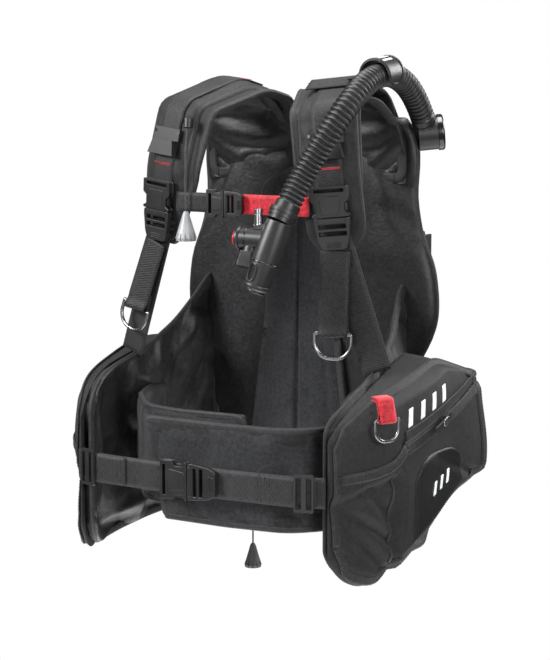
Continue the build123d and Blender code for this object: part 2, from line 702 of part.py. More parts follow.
POCKET_RING = Vector(229, -92, 218)
ring_normal = Vector(0.88, -0.475, 0).normalized()
pocket_ring_plane = Plane(
    origin=POCKET_RING + ring_normal * 7, x_dir=ring_normal.cross(Vector(0, 0, -1)), z_dir=ring_normal,
)
write(d_ring(pocket_ring_plane, SLIM_WEB, RING_WIRE, 26), "pocket_d_ring_left")
ring_top = pocket_ring_plane.origin
tab = web_loop(pocket_ring_plane, SLIM_WEB, RING_WIRE).part + straight_web(
    ring_top + Vector(0, 0, 3.5), ring_top + Vector(-4, 2, 22), ring_normal, SLIM_WEB - 2
).part
write(tab, "pocket_ring_tab")

# Zip slider with its long pull, near the pocket's front
SLIDER_AT = Vector(254, 30, 204)
ZIP_RUN = Vector(0, 0.963, 0.27)
with BuildPart() as zip_slider:
    with BuildSketch(Plane(origin=SLIDER_AT, x_dir=ZIP_RUN, z_dir=(1, 0, 0))):
        RectangleRounded(16, 9, 3)
    extrude(amount=5)
    pull_at = SLIDER_AT + Vector(5, 0, 0) - ZIP_RUN * 23
    with BuildSketch(Plane(origin=pull_at, x_dir=ZIP_RUN, z_dir=(1, 0, 0))):
        RectangleRounded(38, 8, 3.5)
    extrude(amount=2.6)
write_pair(zip_slider, "zip_slider")
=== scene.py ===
"""Buoyancy compensator vest: looks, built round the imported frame.

Points are given in the wearer's coordinates, in millimetres: +X is the wearer's left, +Y is behind the
wearer, +Z is up and z = 0 is the bottom of the pockets. at() turns them into the row's frame, in metres.
"""

import json
import math

import bmesh
import bpy
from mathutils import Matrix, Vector
from mathutils.bvhtree import BVHTree

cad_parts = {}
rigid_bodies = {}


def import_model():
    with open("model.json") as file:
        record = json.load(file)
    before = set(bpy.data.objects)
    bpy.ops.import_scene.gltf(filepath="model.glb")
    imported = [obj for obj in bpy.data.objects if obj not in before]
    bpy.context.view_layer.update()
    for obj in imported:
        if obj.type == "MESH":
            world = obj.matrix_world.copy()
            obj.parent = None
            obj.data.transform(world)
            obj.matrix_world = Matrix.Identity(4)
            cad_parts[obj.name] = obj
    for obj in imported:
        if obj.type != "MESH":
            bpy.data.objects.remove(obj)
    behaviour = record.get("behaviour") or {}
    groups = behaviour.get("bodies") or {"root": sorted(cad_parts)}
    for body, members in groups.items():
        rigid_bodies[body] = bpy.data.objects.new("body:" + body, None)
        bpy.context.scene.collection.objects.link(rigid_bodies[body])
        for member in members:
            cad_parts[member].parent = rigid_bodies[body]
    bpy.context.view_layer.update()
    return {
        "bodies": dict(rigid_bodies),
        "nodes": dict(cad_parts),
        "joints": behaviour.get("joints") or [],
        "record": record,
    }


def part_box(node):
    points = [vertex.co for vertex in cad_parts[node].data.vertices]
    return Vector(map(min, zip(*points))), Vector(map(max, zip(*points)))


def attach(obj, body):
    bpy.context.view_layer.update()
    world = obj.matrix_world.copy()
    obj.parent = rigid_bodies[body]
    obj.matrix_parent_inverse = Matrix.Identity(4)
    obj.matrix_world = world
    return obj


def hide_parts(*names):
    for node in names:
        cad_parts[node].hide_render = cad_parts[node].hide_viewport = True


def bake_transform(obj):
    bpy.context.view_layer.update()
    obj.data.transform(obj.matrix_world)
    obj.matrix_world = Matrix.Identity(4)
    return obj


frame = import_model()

ORIGIN = Vector((0, 257, 378))
MM = 0.001
LEFT, RIGHT = 1, -1
SIDES = ((LEFT, "left"), (RIGHT, "right"))
FRONT, BACK = (0, -1, 0), (0, 1, 0)
WIDE_WEB, NARROW_WEB, WEB_T = 38, 25, 2.4


def at(point):
    """Wearer's coordinates in millimetres to the row's frame in metres."""
    return (Vector(point) - ORIGIN) * MM


def mirrored(point, side):
    return Vector((point[0] * side, point[1], point[2]))


def spline(points, t):
    """Catmull-Rom curve through a list of points; t runs from 0 to the number of spans."""
    last = len(points) - 1
    i = max(0, min(int(t), last - 1))
    f = t - i
    p1, p2 = Vector(points[i]), Vector(points[i + 1])
    p0 = Vector(points[i - 1]) if i else p1 * 2 - p2
    p3 = Vector(points[i + 2]) if i + 2 <= last else p2 * 2 - p1
    return 0.5 * ((2 * p1) + (p2 - p0) * f + (2 * p0 - 5 * p1 + 4 * p2 - p3) * f * f
                  + (3 * p1 - p0 - 3 * p2 + p3) * f ** 3)


def spline_path(points, step=6.0):
    """Evenly spaced points along a Catmull-Rom curve."""
    fine = [spline(points, i / 24) for i in range(24 * (len(points) - 1) + 1)]
    return even_path(fine, step)


def even_path(points, step):
    """Resamples a polyline at even spacing."""
    points = [Vector(p) for p in points]
    lengths = [0.0]
    for a, b in zip(points, points[1:]):
        lengths.append(lengths[-1] + (b - a).length)
    count = max(2, round(lengths[-1] / step) + 1)
    out, k = [], 0
    for i in range(count):
        want = lengths[-1] * i / (count - 1)
        while k < len(points) - 2 and lengths[k + 1] < want:
            k += 1
        run = lengths[k + 1] - lengths[k]
        out.append(points[k].lerp(points[k + 1], (want - lengths[k]) / run if run else 0))
    return out


def lookup(table, x):
    """Piecewise-linear value from a table of (x, value) pairs."""
    if x <= table[0][0]:
        return table[0][1]
    for (x0, y0), (x1, y1) in zip(table, table[1:]):
        if x <= x1:
            return y0 + (y1 - y0) * (x - x0) / (x1 - x0)
    return table[-1][1]


def eased(table, x, reach=14.0):
    """Like lookup, with the table's corners rounded over a reach on each side."""
    return sum(lookup(table, x + reach * k / 4) for k in range(-4, 5)) / 9


# ---------------------------------------------------------------- materials

# Scales of the shaders' noise, in cells to a metre
FUZZ, MOTTLE, CREASES, MARKS = 520.0, 210.0, 22.0, 45.0


class Nodes:
    """Short calls that add shader nodes to one material."""

    def __init__(self, name):
        self.material = bpy.data.materials.new(name)
        self.material.use_nodes = True
        self.tree = self.material.node_tree
        self.shader = self.tree.nodes["Principled BSDF"]
        self.place = self.add("TexCoord").outputs["Object"]

    def add(self, kind, inputs=None, **settings):
        node = self.tree.nodes.new("ShaderNode" + kind)
        for key, value in settings.items():
            setattr(node, key, value)
        for key, value in (inputs or {}).items():
            if isinstance(value, bpy.types.NodeSocket):
                self.tree.links.new(value, node.inputs[key])
            else:
                node.inputs[key].default_value = value
        return node

    def math(self, operation, a, b=0.0):
        return self.add("Math", {0: a, 1: b}, operation=operation).outputs[0]

    def noise(self, vector, scale, detail=3.0):
        return self.add("TexNoise", {"Vector": vector, "Scale": scale, "Detail": detail}).outputs["Fac"]

    def ramp(self, value, stops):
        node = self.add("ValToRGB", {"Fac": value})
        for i, (position, colour) in enumerate(stops):
            stop = node.color_ramp.elements[i] if i < 2 else node.color_ramp.elements.new(position)
            stop.position, stop.color = position, (*colour, 1)
        return node.outputs["Color"]

    def scale_between(self, value, low, high):
        return self.add("MapRange", {"Value": value, "To Min": low, "To Max": high}).outputs["Result"]

    def finish(self, colour, roughness, height=None, depth=0.0005, strength=0.6, bevel=0.0, **sockets):
        """Links colour, roughness, bump and bevel to the shader, and returns the material."""
        links = self.tree.links
        links.new(colour, self.shader.inputs["Base Color"])
        links.new(roughness, self.shader.inputs["Roughness"])
        normal = None
        if bevel:
            normal = self.add("Bevel", {"Radius": bevel}, samples=4).outputs["Normal"]
        if height is not None:
            bump = self.add("Bump", {"Height": height, "Distance": depth, "Strength": strength})
            if normal is not None:
                links.new(normal, bump.inputs["Normal"])
            normal = bump.outputs["Normal"]
        if normal is not None:
            links.new(normal, self.shader.inputs["Normal"])
        for key, value in sockets.items():
            self.shader.inputs[key.replace("_", " ")].default_value = value
        return self.material


def shades(colour, low, high):
    return [(0.3, tuple(c * low for c in colour)), (0.7, tuple(c * high for c in colour))]


def woven(name, colour, pitch, roughness, sheen, twill=False, depth=0.0004, crease=0.5, contrast=2.3):
    """Cloth with a weave along its UV directions, in metres, slow wrinkles, uneven dye, and painted shade in
    the wrinkles' hollows with painted light on their ridges.
    """
    n = Nodes(name)
    uv = n.add("TexCoord").outputs["UV"]
    axes = n.add("SeparateXYZ", {0: uv}).outputs
    k = 2 * math.pi / pitch
    if twill:
        across = n.math("MULTIPLY", axes[0], k * 0.5)
        along = n.math("MULTIPLY", axes[1], k)
        rib = n.math("SINE", n.math("ADD", across, along))
        yarn = n.math("SINE", n.math("MULTIPLY", axes[0], k * 1.6))
        weave = n.math("ADD", rib, n.math("MULTIPLY", yarn, 0.5))
    else:
        over = n.math("SINE", n.math("MULTIPLY", axes[0], k))
        under = n.math("SINE", n.math("MULTIPLY", axes[1], k))
        weave = n.math("MULTIPLY", over, under)
    fuzz = n.noise(n.place, FUZZ)
    slow = n.noise(n.place, CREASES, 4.0)
    weave01 = n.scale_between(weave, 0.0, 1.0)
    mix = n.math("ADD", n.math("MULTIPLY", weave01, 0.45), n.math("MULTIPLY", fuzz, 0.55))
    mottle = n.noise(n.place, MOTTLE, 4.0)
    # The tone rises with the same noises that raise the bumps: the wrinkles' hollows are painted darker and
    # their ridges lighter, painted shade and painted light, while the mottle is also uneven dye
    dye_and_painted_crease_shade = n.math("ADD", n.math("MULTIPLY", mottle, 0.32), n.math("MULTIPLY", slow, 0.23))
    tone = n.math("ADD", n.math("MULTIPLY", mix, 0.45), dye_and_painted_crease_shade)
    waves = n.math("ADD", n.math("MULTIPLY", slow, crease * 6), n.math("MULTIPLY", mottle, crease * 1.6))
    height = n.math("ADD", mix, waves)
    rough = n.scale_between(slow, roughness - 0.07, roughness + 0.07)
    # The ramp's wide spread, set by contrast, deepens this painted shade and painted light along with the
    # weave and the dye
    return n.finish(n.ramp(tone, shades(colour, 0.15, contrast)), rough, height, depth,
                    Sheen_Weight=sheen, Sheen_Roughness=0.45, Specular_IOR_Level=0.32)


def moulded(name, colour, roughness, grain=420.0, bevel=0.0007, **sockets):
    """Moulded plastic or rubber with a fine grain, handling marks and softened edges."""
    n = Nodes(name)
    fine = n.noise(n.place, grain * 2, 2.0)
    marks = n.noise(n.place, MARKS, 5.0)
    rough = n.scale_between(marks, roughness - 0.08, roughness + 0.1)
    tone = n.math("ADD", n.math("MULTIPLY", marks, 0.7), n.math("MULTIPLY", fine, 0.3))
    return n.finish(n.ramp(tone, shades(colour, 0.8, 1.3)), rough, fine, 0.00006, 0.5, bevel, **sockets)


def metal(name, colour, roughness):
    """Polished metal with fine scratches."""
    n = Nodes(name)
    stretched = n.add("Mapping", {"Vector": n.place, "Scale": (600, 600, 40)}).outputs["Vector"]
    scratches = n.noise(stretched, 1.0, 3.0)
    rough = n.scale_between(scratches, roughness * 0.6, roughness * 1.6)
    return n.finish(n.ramp(scratches, shades(colour, 0.85, 1.05)), rough, scratches, 0.00002, 0.3, 0.0003,
                    Metallic=1.0)


CORDURA = woven("cordura", (0.0115, 0.0118, 0.0126), 0.0017, 0.62, 0.035, crease=0.7, contrast=2.6)
NYLON = woven("nylon", (0.0160, 0.0163, 0.0175), 0.0008, 0.34, 0.0, depth=0.0002, crease=2.2, contrast=1.9)
PANEL_CLOTH = woven("panel_cloth", (0.0070, 0.0072, 0.0080), 0.0009, 0.42, 0.0, depth=0.0002)
# Nylon painted lighter than NYLON, as painted light on the lobes' inner cloth, which faces away from the key
# lamp
LOBE_NYLON_PAINTED_LIGHT = woven("nylon_lobe", (0.0290, 0.0295, 0.0310), 0.0008, 0.32, 0.0, depth=0.0002, crease=2.4,
                   contrast=1.8)
PAD_CLOTH = woven("pad_cloth", (0.0215, 0.0222, 0.0245), 0.0014, 0.78, 0.05)
LOOP_CLOTH = woven("loop_cloth", (0.0180, 0.0185, 0.0195), 0.0022, 0.92, 0.10, depth=0.0009, crease=0.2)
WEBBING = woven("webbing", (0.0165, 0.0168, 0.0178), 0.0034, 0.55, 0.04, twill=True, depth=0.0009, crease=0.1)
WEBBING_RED = woven("webbing_red", (0.50, 0.010, 0.022), 0.0022, 0.60, 0.25, twill=True, crease=0.1)
BINDING = woven("binding", (0.0200, 0.0203, 0.0215), 0.0018, 0.60, 0.05, twill=True, crease=0.2)
THREAD = woven("thread", (0.0600, 0.0605, 0.0620), 0.0008, 0.5, 0.05)
THREAD_RED = woven("thread_red", (0.62, 0.02, 0.03), 0.0008, 0.5, 0.2)
PRINT = moulded("reflective_print", (0.80, 0.81, 0.82), 0.38, bevel=0.0)
PLASTIC = moulded("plastic_black", (0.0110, 0.0112, 0.0118), 0.40)
PLASTIC_GLOSS = moulded("plastic_gloss", (0.0050, 0.0050, 0.0055), 0.20, Coat_Weight=0.3)
PLASTIC_RED = moulded("plastic_red", (0.60, 0.015, 0.02), 0.30)
KNOB_LIGHT = moulded("knob_light", (0.30, 0.305, 0.315), 0.38)
KNOB_GREY = moulded("knob_grey", (0.070, 0.072, 0.075), 0.42)
RUBBER = moulded("rubber_hose", (0.0090, 0.0092, 0.0098), 0.42)
STEEL = metal("steel", (0.26, 0.26, 0.27), 0.26)
CHROME = metal("chrome", (0.50, 0.50, 0.52), 0.14)
CORD = woven("cord", (0.045, 0.045, 0.05), 0.0009, 0.7, 0.3, twill=True)

SLOT_MATERIAL = {
    "cordura": CORDURA, "nylon": NYLON, "pad_cloth": PAD_CLOTH, "webbing": WEBBING,
    "webbing_red": WEBBING_RED, "binding": BINDING, "plastic_black": PLASTIC,
    "plastic_gloss": PLASTIC_GLOSS, "plastic_red": PLASTIC_RED, "knob_light": KNOB_LIGHT,
    "knob_grey": KNOB_GREY, "rubber_hose": RUBBER, "steel": STEEL, "chrome": CHROME, "cord": CORD,
}

# ---------------------------------------------------------------- camera and light

AZIMUTH, ELEVATION = math.radians(30), math.radians(8)
CAMERA_DISTANCE = 2.6
AMBIENT = 0.16
AIM = at((18, 10, 300))
view_direction = Vector((-math.sin(AZIMUTH) * math.cos(ELEVATION), math.cos(AZIMUTH) * math.cos(ELEVATION),
                         -math.sin(ELEVATION)))
camera = bpy.data.objects.new("camera", bpy.data.cameras.new("camera"))
camera.data.lens = 109
camera.location = AIM - view_direction * CAMERA_DISTANCE
camera.rotation_euler = view_direction.to_track_quat("-Z", "Y").to_euler()
bpy.context.collection.objects.link(camera)
bpy.context.scene.camera = camera


def area_light(name, place, size, power, aim=(0, 0, 350)):
    light = bpy.data.lights.new(name, "AREA")
    light.shape, light.size, light.energy = "DISK", size, power
    lamp = bpy.data.objects.new(name, light)
    lamp.location = at(place)
    lamp.rotation_euler = (at(aim) - lamp.location).to_track_quat("-Z", "Y").to_euler()
    bpy.context.collection.objects.link(lamp)


area_light("key", (-1300, -1500, 1500), 0.9, 74)
area_light("fill", (1900, -1200, 900), 1.2, 34)
area_light("top", (100, 100, 2100), 1.2, 46)
area_light("rim", (1200, 1500, 1300), 1.0, 38)
area_light("low", (100, -1900, 150), 1.2, 6)

world = bpy.data.worlds.new("studio")
world.use_nodes = True
sky = world.node_tree.nodes["Background"]
sky.inputs["Color"].default_value = (1, 1, 1, 1)
seen = world.node_tree.nodes.new("ShaderNodeLightPath").outputs["Is Camera Ray"]
strength = world.node_tree.nodes.new("ShaderNodeMapRange")
strength.inputs["To Min"].default_value = AMBIENT
strength.inputs["To Max"].default_value = 1.0
world.node_tree.links.new(seen, strength.inputs["Value"])
world.node_tree.links.new(strength.outputs["Result"], sky.inputs["Strength"])
bpy.context.scene.world = world
bpy.context.scene.view_settings.view_transform = "Standard"

# ---------------------------------------------------------------- mesh helpers


def new_piece(name, verts, faces, material, body="vest", slot=None, uvs=None, smooth=True):
    """Adds a mesh object from points in wearer's millimetres and lets it ride on a body."""
    mesh = bpy.data.meshes.new(name)
    mesh.from_pydata([at(v) for v in verts], [], faces)
    if uvs:
        layer = mesh.uv_layers.new(name="UVMap")
        for loop in mesh.loops:
            layer.data[loop.index].uv = uvs[loop.vertex_index]
    mesh.materials.append(material)
    mesh.polygons.foreach_set("use_smooth", [smooth] * len(mesh.polygons))
    piece = bpy.data.objects.new(name, mesh)
    bpy.context.collection.objects.link(piece)
    if body:
        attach(piece, body)
    return piece


def tube_faces(rings, sides, closed=False):
    """Faces between rings of points. An open tube is capped, a closed one joins last ring to first."""
    faces = []
    for i in range(rings if closed else rings - 1):
        here, there = i * sides, (i + 1) % rings * sides
        for k in range(sides):
            after = (k + 1) % sides
            faces.append([here + k, here + after, there + after, there + k])
    if not closed:
        faces += [list(range(sides))[::-1], [(rings - 1) * sides + k for k in range(sides)]]
    return faces


def grid_shell(front, back, columns, rows, uv_size):
    """Closed shell between two surfaces of (u, v), each from 0 to 1, that meet along the rim."""
    verts, uvs, faces = [], [], []
    width, height = uv_size
    for surface in (front, back):
        for j in range(rows + 1):
            for i in range(columns + 1):
                u, v = i / columns, j / rows
                verts.append(surface(u, v))
                uvs.append((u * width * MM, v * height * MM))
    stride, layer = columns + 1, (columns + 1) * (rows + 1)
    for j in range(rows):
        for i in range(columns):
            a = j * stride + i
            quad = [a, a + 1, a + stride + 1, a + stride]
            faces.append(quad)
            faces.append([layer + k for k in reversed(quad)])
    rim = list(range(stride))
    rim += [j * stride + columns for j in range(1, rows + 1)]
    rim += [rows * stride + i for i in range(columns - 1, -1, -1)]
    rim += [j * stride for j in range(rows - 1, 0, -1)]
    for a, b in zip(rim, rim[1:] + rim[:1]):
        faces.append([b, a, layer + a, layer + b])
    return verts, faces, uvs, rim, layer


def inflate(piece, held, pressure=1.5, grow=0.03, cap=8.0, frames=14, stiffness=8.0):
    """Runs a cloth simulation on a closed shell: the cloth is cut too large by `grow`, so that it creases,
    and is blown out by `pressure`. Held points stay, the rest move at most `cap` millimetres."""
    scene = bpy.context.scene
    group = piece.vertex_groups.new(name="held")
    group.add(sorted(held), 1.0, "REPLACE")
    cloth = piece.modifiers.new("cloth", "CLOTH")
    s = cloth.settings
    s.quality = 5
    s.mass = 0.15
    s.tension_stiffness = s.compression_stiffness = stiffness
    s.shear_stiffness = stiffness / 3
    s.bending_stiffness = 0.02
    s.use_pressure = True
    s.uniform_pressure_force = pressure
    s.shrink_min = s.shrink_max = -grow
    s.effector_weights.gravity = 0
    s.vertex_group_mass = "held"
    cloth.collision_settings.use_collision = False
    cloth.point_cache.frame_start, cloth.point_cache.frame_end = 1, frames
    rest = [v.co.copy() for v in piece.data.vertices]
    for number in range(1, frames + 1):
        scene.frame_set(number)
    evaluated = piece.evaluated_get(bpy.context.evaluated_depsgraph_get())
    moved = [v.co.copy() for v in evaluated.data.vertices]
    piece.modifiers.remove(cloth)
    scene.frame_set(1)
    for vertex, before, after in zip(piece.data.vertices, rest, moved):
        step = after - before
        if step.length > cap * MM:
            step *= cap * MM / step.length
        vertex.co = before + step
    piece.vertex_groups.remove(group)


def turned_over(faces, over=True):
    return [face[::-1] for face in faces] if over else faces


def soft_shell(name, front, back, cells, size, material, slot, over, fill, node=None, **cloth):
    """Closed cloth shell between two surfaces, blown out and smoothed."""
    verts, faces, uvs, rim, layer = grid_shell(front, back, *cells, size)
    piece = new_piece(name, verts, turned_over(faces, over), material, "vest", slot, uvs)
    inflate(piece, set(rim) | {layer + k for k in rim}, **cloth)
    finish_shell(piece, node)
    return piece


def finish_shell(piece, node):
    smoothing = piece.modifiers.new("smooth", "SUBSURF")
    smoothing.levels = smoothing.render_levels = 1
    if node:
        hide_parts(node)


def heading(path, i):
    """Direction of a path at one of its points."""
    return (path[min(i + 1, len(path) - 1)] - path[max(i - 1, 0)]).normalized()


def frames_along(path, normals):
    """Direction, normal and side vector at each point of a path; one normal serves the whole path."""
    out = []
    for i, p in enumerate(path):
        ahead = heading(path, i)
        n = Vector(normals[i]) if isinstance(normals, list) else Vector(normals)
        n = (n - ahead * n.dot(ahead)).normalized()
        out.append((p, ahead, n, ahead.cross(n)))
    return out


def tape_mesh(path, normals, width, thick, lift=0.0, edge=0.35, sag=0.0, columns=6, widths=None):
    """Flat strip with rounded edges along a path: verts, faces and uvs."""
    verts, uvs, ring = [], [], []
    for k in range(columns + 1):
        x = -0.5 + k / columns
        ring.append((x, thick * (0.5 if 0 < k < columns else 0.5 - edge * 0.5)))
    ring += [(x, -h) for x, h in reversed(ring)]
    count = len(ring)
    length = 0.0
    for i, (p, _, n, side) in enumerate(frames_along(path, normals)):
        if i:
            length += (p - path[i - 1]).length
        w = widths[i] if widths else width
        for x, h in ring:
            verts.append(p + side * (x * w) + n * (h + lift + sag * (0.25 - x * x)))
            uvs.append((x * w * MM, length * MM))
    return verts, tube_faces(len(path), count), uvs


def tape(name, path, normals, width, thick, material=WEBBING, body="vest", slot="webbing", node=None,
         **shape):
    """A strip of webbing or edge tape as a piece of its own, which may stand for a CAD node."""
    verts, faces, uvs = tape_mesh(path, normals, width, thick, **shape)
    piece = new_piece(name, verts, faces, material, body, slot, uvs)
    if node:
        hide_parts(node)
    return piece


def merged(name, parts, material, body="vest", slot=None, smooth=True):
    """One piece from several (verts, faces, uvs) lists."""
    verts, faces, uvs = [], [], []
    for v, f, t in parts:
        base = len(verts)
        verts += v
        uvs += t
        faces += [[base + k for k in face] for face in f]
    return new_piece(name, verts, faces, material, body, slot, uvs, smooth)


def stitch_parts(path, normals, lift=0.3, pitch=4.2, long=3.0, wide=0.9):
    """Row of stitches: short rounded bars set end to end along a path."""
    parts = []
    for p, ahead, n, side in frames_along(even_path(path, pitch), resampled(path, normals, pitch)):
        a, b, h = ahead * (long / 2), side * (wide / 2), n * 0.45
        base = p + n * lift
        verts = [base - a, base - a * 0.6 + b, base + a * 0.6 + b, base + a, base + a * 0.6 - b,
                 base - a * 0.6 - b, base - a * 0.55 + h, base + a * 0.55 + h]
        faces = [[0, 1, 6], [1, 2, 7, 6], [2, 3, 7], [3, 4, 7], [4, 5, 6, 7], [5, 0, 6], [5, 4, 3, 2, 1, 0]]
        parts.append((verts, faces, [(0, 0)] * 8))
    return parts


def stitched(name, lines, normals, material=THREAD, slot="binding", **stitches):
    """Rows of stitches along several lines, as one piece."""
    parts = []
    for line in lines:
        parts += stitch_parts(line, normals, **stitches)
    return merged(name, parts, material, slot=slot)


def resampled(path, normals, step):
    if not isinstance(normals, list):
        return normals
    count = len(even_path(path, step))
    return [normals[round(i * (len(normals) - 1) / (count - 1))] for i in range(count)]


def binding(name, path, normals, width, thick, material=BINDING):
    """Folded edge tape: a rounded strip that caps a panel's whole rim."""
    tape(name, path + path[:1], normals + normals[:1], width, thick, material, slot="binding", edge=0.8,
         sag=1.5)


def normal_of(surface, u, v, e=0.004):
    du = surface(min(u + e, 1), v) - surface(max(u - e, 0), v)
    dv = surface(u, min(v + e, 1)) - surface(u, max(v - e, 0))
    return du.cross(dv).normalized()


def rim_track(surface, inset_u, inset_v, corner=0.05, per_side=34):
    """Points and normals along a rounded rectangle, in (u, v), just inside a surface's rim."""
    u0, u1, v0, v1 = inset_u, 1 - inset_u, inset_v, 1 - inset_v
    track = []
    corners = ((u1 - corner, v0 + corner, -90), (u1 - corner, v1 - corner, 0), (u0 + corner, v1 - corner, 90),
               (u0 + corner, v0 + corner, 180))
    for cu, cv, start in corners:
        arc = []
        for k in range(7):
            a = math.radians(start + 15 * k)
            arc.append((cu + corner * math.cos(a), cv + corner * math.sin(a)))
        if track:
            pu, pv = track[-1]
            track += [(pu + (arc[0][0] - pu) * k / per_side, pv + (arc[0][1] - pv) * k / per_side)
                      for k in range(1, per_side)]
        track += arc
    pu, pv = track[-1]
    track += [(pu + (track[0][0] - pu) * k / per_side, pv + (track[0][1] - pv) * k / per_side)
              for k in range(1, per_side)]
    return [surface(u, v) for u, v in track], [normal_of(surface, u, v) for u, v in track]


def stitched_rim(name, surface, inset_u, inset_v, width, thick, corner=0.05):
    """Binding round a panel, with a row of stitches near its inner edge on both faces."""
    binding(name + "_binding", *rim_track(surface, inset_u, inset_v, corner), width, thick)
    inner, normals = rim_track(surface, inset_u * 1.9, inset_v * 1.9, corner)
    parts = []
    for face in (1, -1):
        parts += stitch_parts(inner + inner[:1], [n * face for n in normals + normals[:1]], thick / 2 + 0.1)
    merged(name + "_stitches", parts, THREAD, slot="binding")


def edge_distance(u, v, width, height):
    """Distance in millimetres from a panel's rim."""
    return min(u * width, (1 - u) * width, v * height, (1 - v) * height)


def pillow(u, v, width, height, reach, power=0.5):
    """Crown of a panel of that size: 0 on its rim, 1 from a reach inwards."""
    return min(1.0, max(0.0, edge_distance(u, v, width, height)) / reach) ** power


# ---------------------------------------------------------------- cords and hose


def route_curve(name, points, diameter, material):
    """NURBS curve through given control points."""
    data = bpy.data.curves.new(name, "CURVE")
    data.dimensions = "3D"
    data.bevel_depth = diameter / 2 * MM
    data.bevel_resolution = 4
    data.resolution_u = 16
    line = data.splines.new("NURBS")
    line.points.add(len(points) - 1)
    for point, place in zip(line.points, points):
        point.co = (*at(place), 1)
    line.order_u = 3
    line.use_endpoint_u = True
    data.materials.append(material)
    curve = bpy.data.objects.new(name, data)
    bpy.context.collection.objects.link(curve)
    return curve


CORD_D = 2.4
DUMP_CORDS = {
    "shoulder": (((-79, -45, 562), (-80, -50, 544), (-79, -51.5, 518), (-79.4, -51.5, 487),
                  (-79, -51.5, 455)), 0.108),
    "rear": (((-110, 163, 66), (-109, 168, 44), (-110, 169, 4), (-110, 169, -35)), 0.102),
}
for name, (points, length) in DUMP_CORDS.items():
    cord = route_curve(f"{name}_dump_line", points, CORD_D, CORD)
    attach(cord, f"{name}_dump_pull")
    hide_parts(f"{name}_dump_cord")
    at(points[0])

HOSE_ROUTE = ((168, 138, 568), (167, 112, 606), (160, 62, 633), (158, 5, 627), (155, -38, 602),
              (140, -62, 567), (122, -74, 532), (108, -87, 500), (98, -104, 466))
HOSE_D = 32.0
HOSE_SPLIT = (Vector(HOSE_ROUTE[3]) + Vector(HOSE_ROUTE[4])) / 2
RIB_PITCH, RIB_DEPTH = 6.4, 3.3
HOSE_SIDES = 32
STEPS_PER_RIB = 8
PLAIN_CUFF = 9.0
BEND_HALF = 34.0

guide = route_curve("hose_guide", HOSE_ROUTE, 0, RUBBER)
guide_mesh = bpy.data.meshes.new_from_object(guide)
hose_line = [v.co.copy() for v in guide_mesh.vertices]
bpy.data.objects.remove(guide)
HOSE_STEP = RIB_PITCH / STEPS_PER_RIB
hose_path = [p / MM + ORIGIN for p in even_path(hose_line, HOSE_STEP * MM)]
verts = []
side_hint = Vector((1, 0, 0))
for i, p in enumerate(hose_path):
    ahead = heading(hose_path, i)
    side_hint = (side_hint - ahead * side_hint.dot(ahead)).normalized()
    up = ahead.cross(side_hint)
    groove = (0.5 - 0.5 * math.cos(2 * math.pi * i / STEPS_PER_RIB)) ** 1.7
    from_end = min(i, len(hose_path) - 1 - i) * HOSE_STEP
    radius = HOSE_D / 2 - RIB_DEPTH * groove * (from_end > PLAIN_CUFF)
    for k in range(HOSE_SIDES):
        a = 2 * math.pi * k / HOSE_SIDES
        verts.append(p + side_hint * (radius * math.cos(a)) + up * (radius * math.sin(a)))
faces = tube_faces(len(hose_path), HOSE_SIDES)
hose = new_piece("corrugated_hose", verts, faces, RUBBER, None, "rubber_hose")
bend = (Vector(HOSE_ROUTE[4]) - Vector(HOSE_ROUTE[3])).normalized() * BEND_HALF
at(HOSE_SPLIT - bend)
at(HOSE_SPLIT + bend)
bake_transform(hose)
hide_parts("hose_rear", "hose_front")
at(HOSE_ROUTE[0])

# The CAD nodes that stay take the same materials
for thing in frame["nodes"].values():
    for slot in thing.material_slots:
        slot.material = SLOT_MATERIAL.get(slot.material.name.split(".")[0] if slot.material else "", PLASTIC)

# ---------------------------------------------------------------- side lobes

LOBE_STATIONS = ((180, -144, -42, 0.0), (207, -85, -16, 0.15), (214, 0, 2, 0.25), (204, 78, 20, 0.22),
                 (158, 152, 68, 0.03))
LEAN_FROM_Z = 150
LOBE_TOP = ((-160, 184), (-138, 216), (-90, 244), (0, 268), (60, 300), (126, 362))
LOBE_BOTTOM = ((-152, 66), (-132, 30), (-100, 12), (60, 22), (128, 30), (150, 44))
LOBE_T, LOBE_CLOTH = 20.0, 1.6
LOBE_FRONT_Y, LOBE_REAR_Y = -144, 144
LOBE_COLUMNS, LOBE_ROWS = 46, 34
LOBE_SIZE = (330, 240)


def lobe_point(u, z, offset):
    """Point on the left lobe: u from its front edge to its rear, offset outwards from its outer face."""
    lean_in = max(0.0, z - LEAN_FROM_Z)
    x, y, angle = spline([(x - lean * lean_in, y, angle) for x, y, angle, lean in LOBE_STATIONS],
                         u * (len(LOBE_STATIONS) - 1))
    angle = math.radians(angle)
    return Vector((x + offset * math.cos(angle), y + offset * math.sin(angle), z))


def lobe_sheet(side, offset_at):
    def surface(u, v):
        y = lobe_point(u, 150, 0).y
        z = eased(LOBE_BOTTOM, y) * (1 - v) + eased(LOBE_TOP, y) * v
        return mirrored(lobe_point(u, z, offset_at(u, v)), side)
    return surface


def swell(u, v):
    """How far the outer cloth stands off the lobe's middle."""
    return 8.5 * pillow(u, v, *LOBE_SIZE, 26) + 0.6


def inner_swell(u, v):
    """The inner cloth hangs fuller, gathered in soft bulges between its seams."""
    full = pillow(u, v, *LOBE_SIZE, 34)
    bulges = 0.5 + 0.5 * math.sin(u * 19 + 2.2 * math.sin(v * 5))
    return full * (10.0 + 3.4 * bulges * math.sin(math.pi * v)) + 0.6


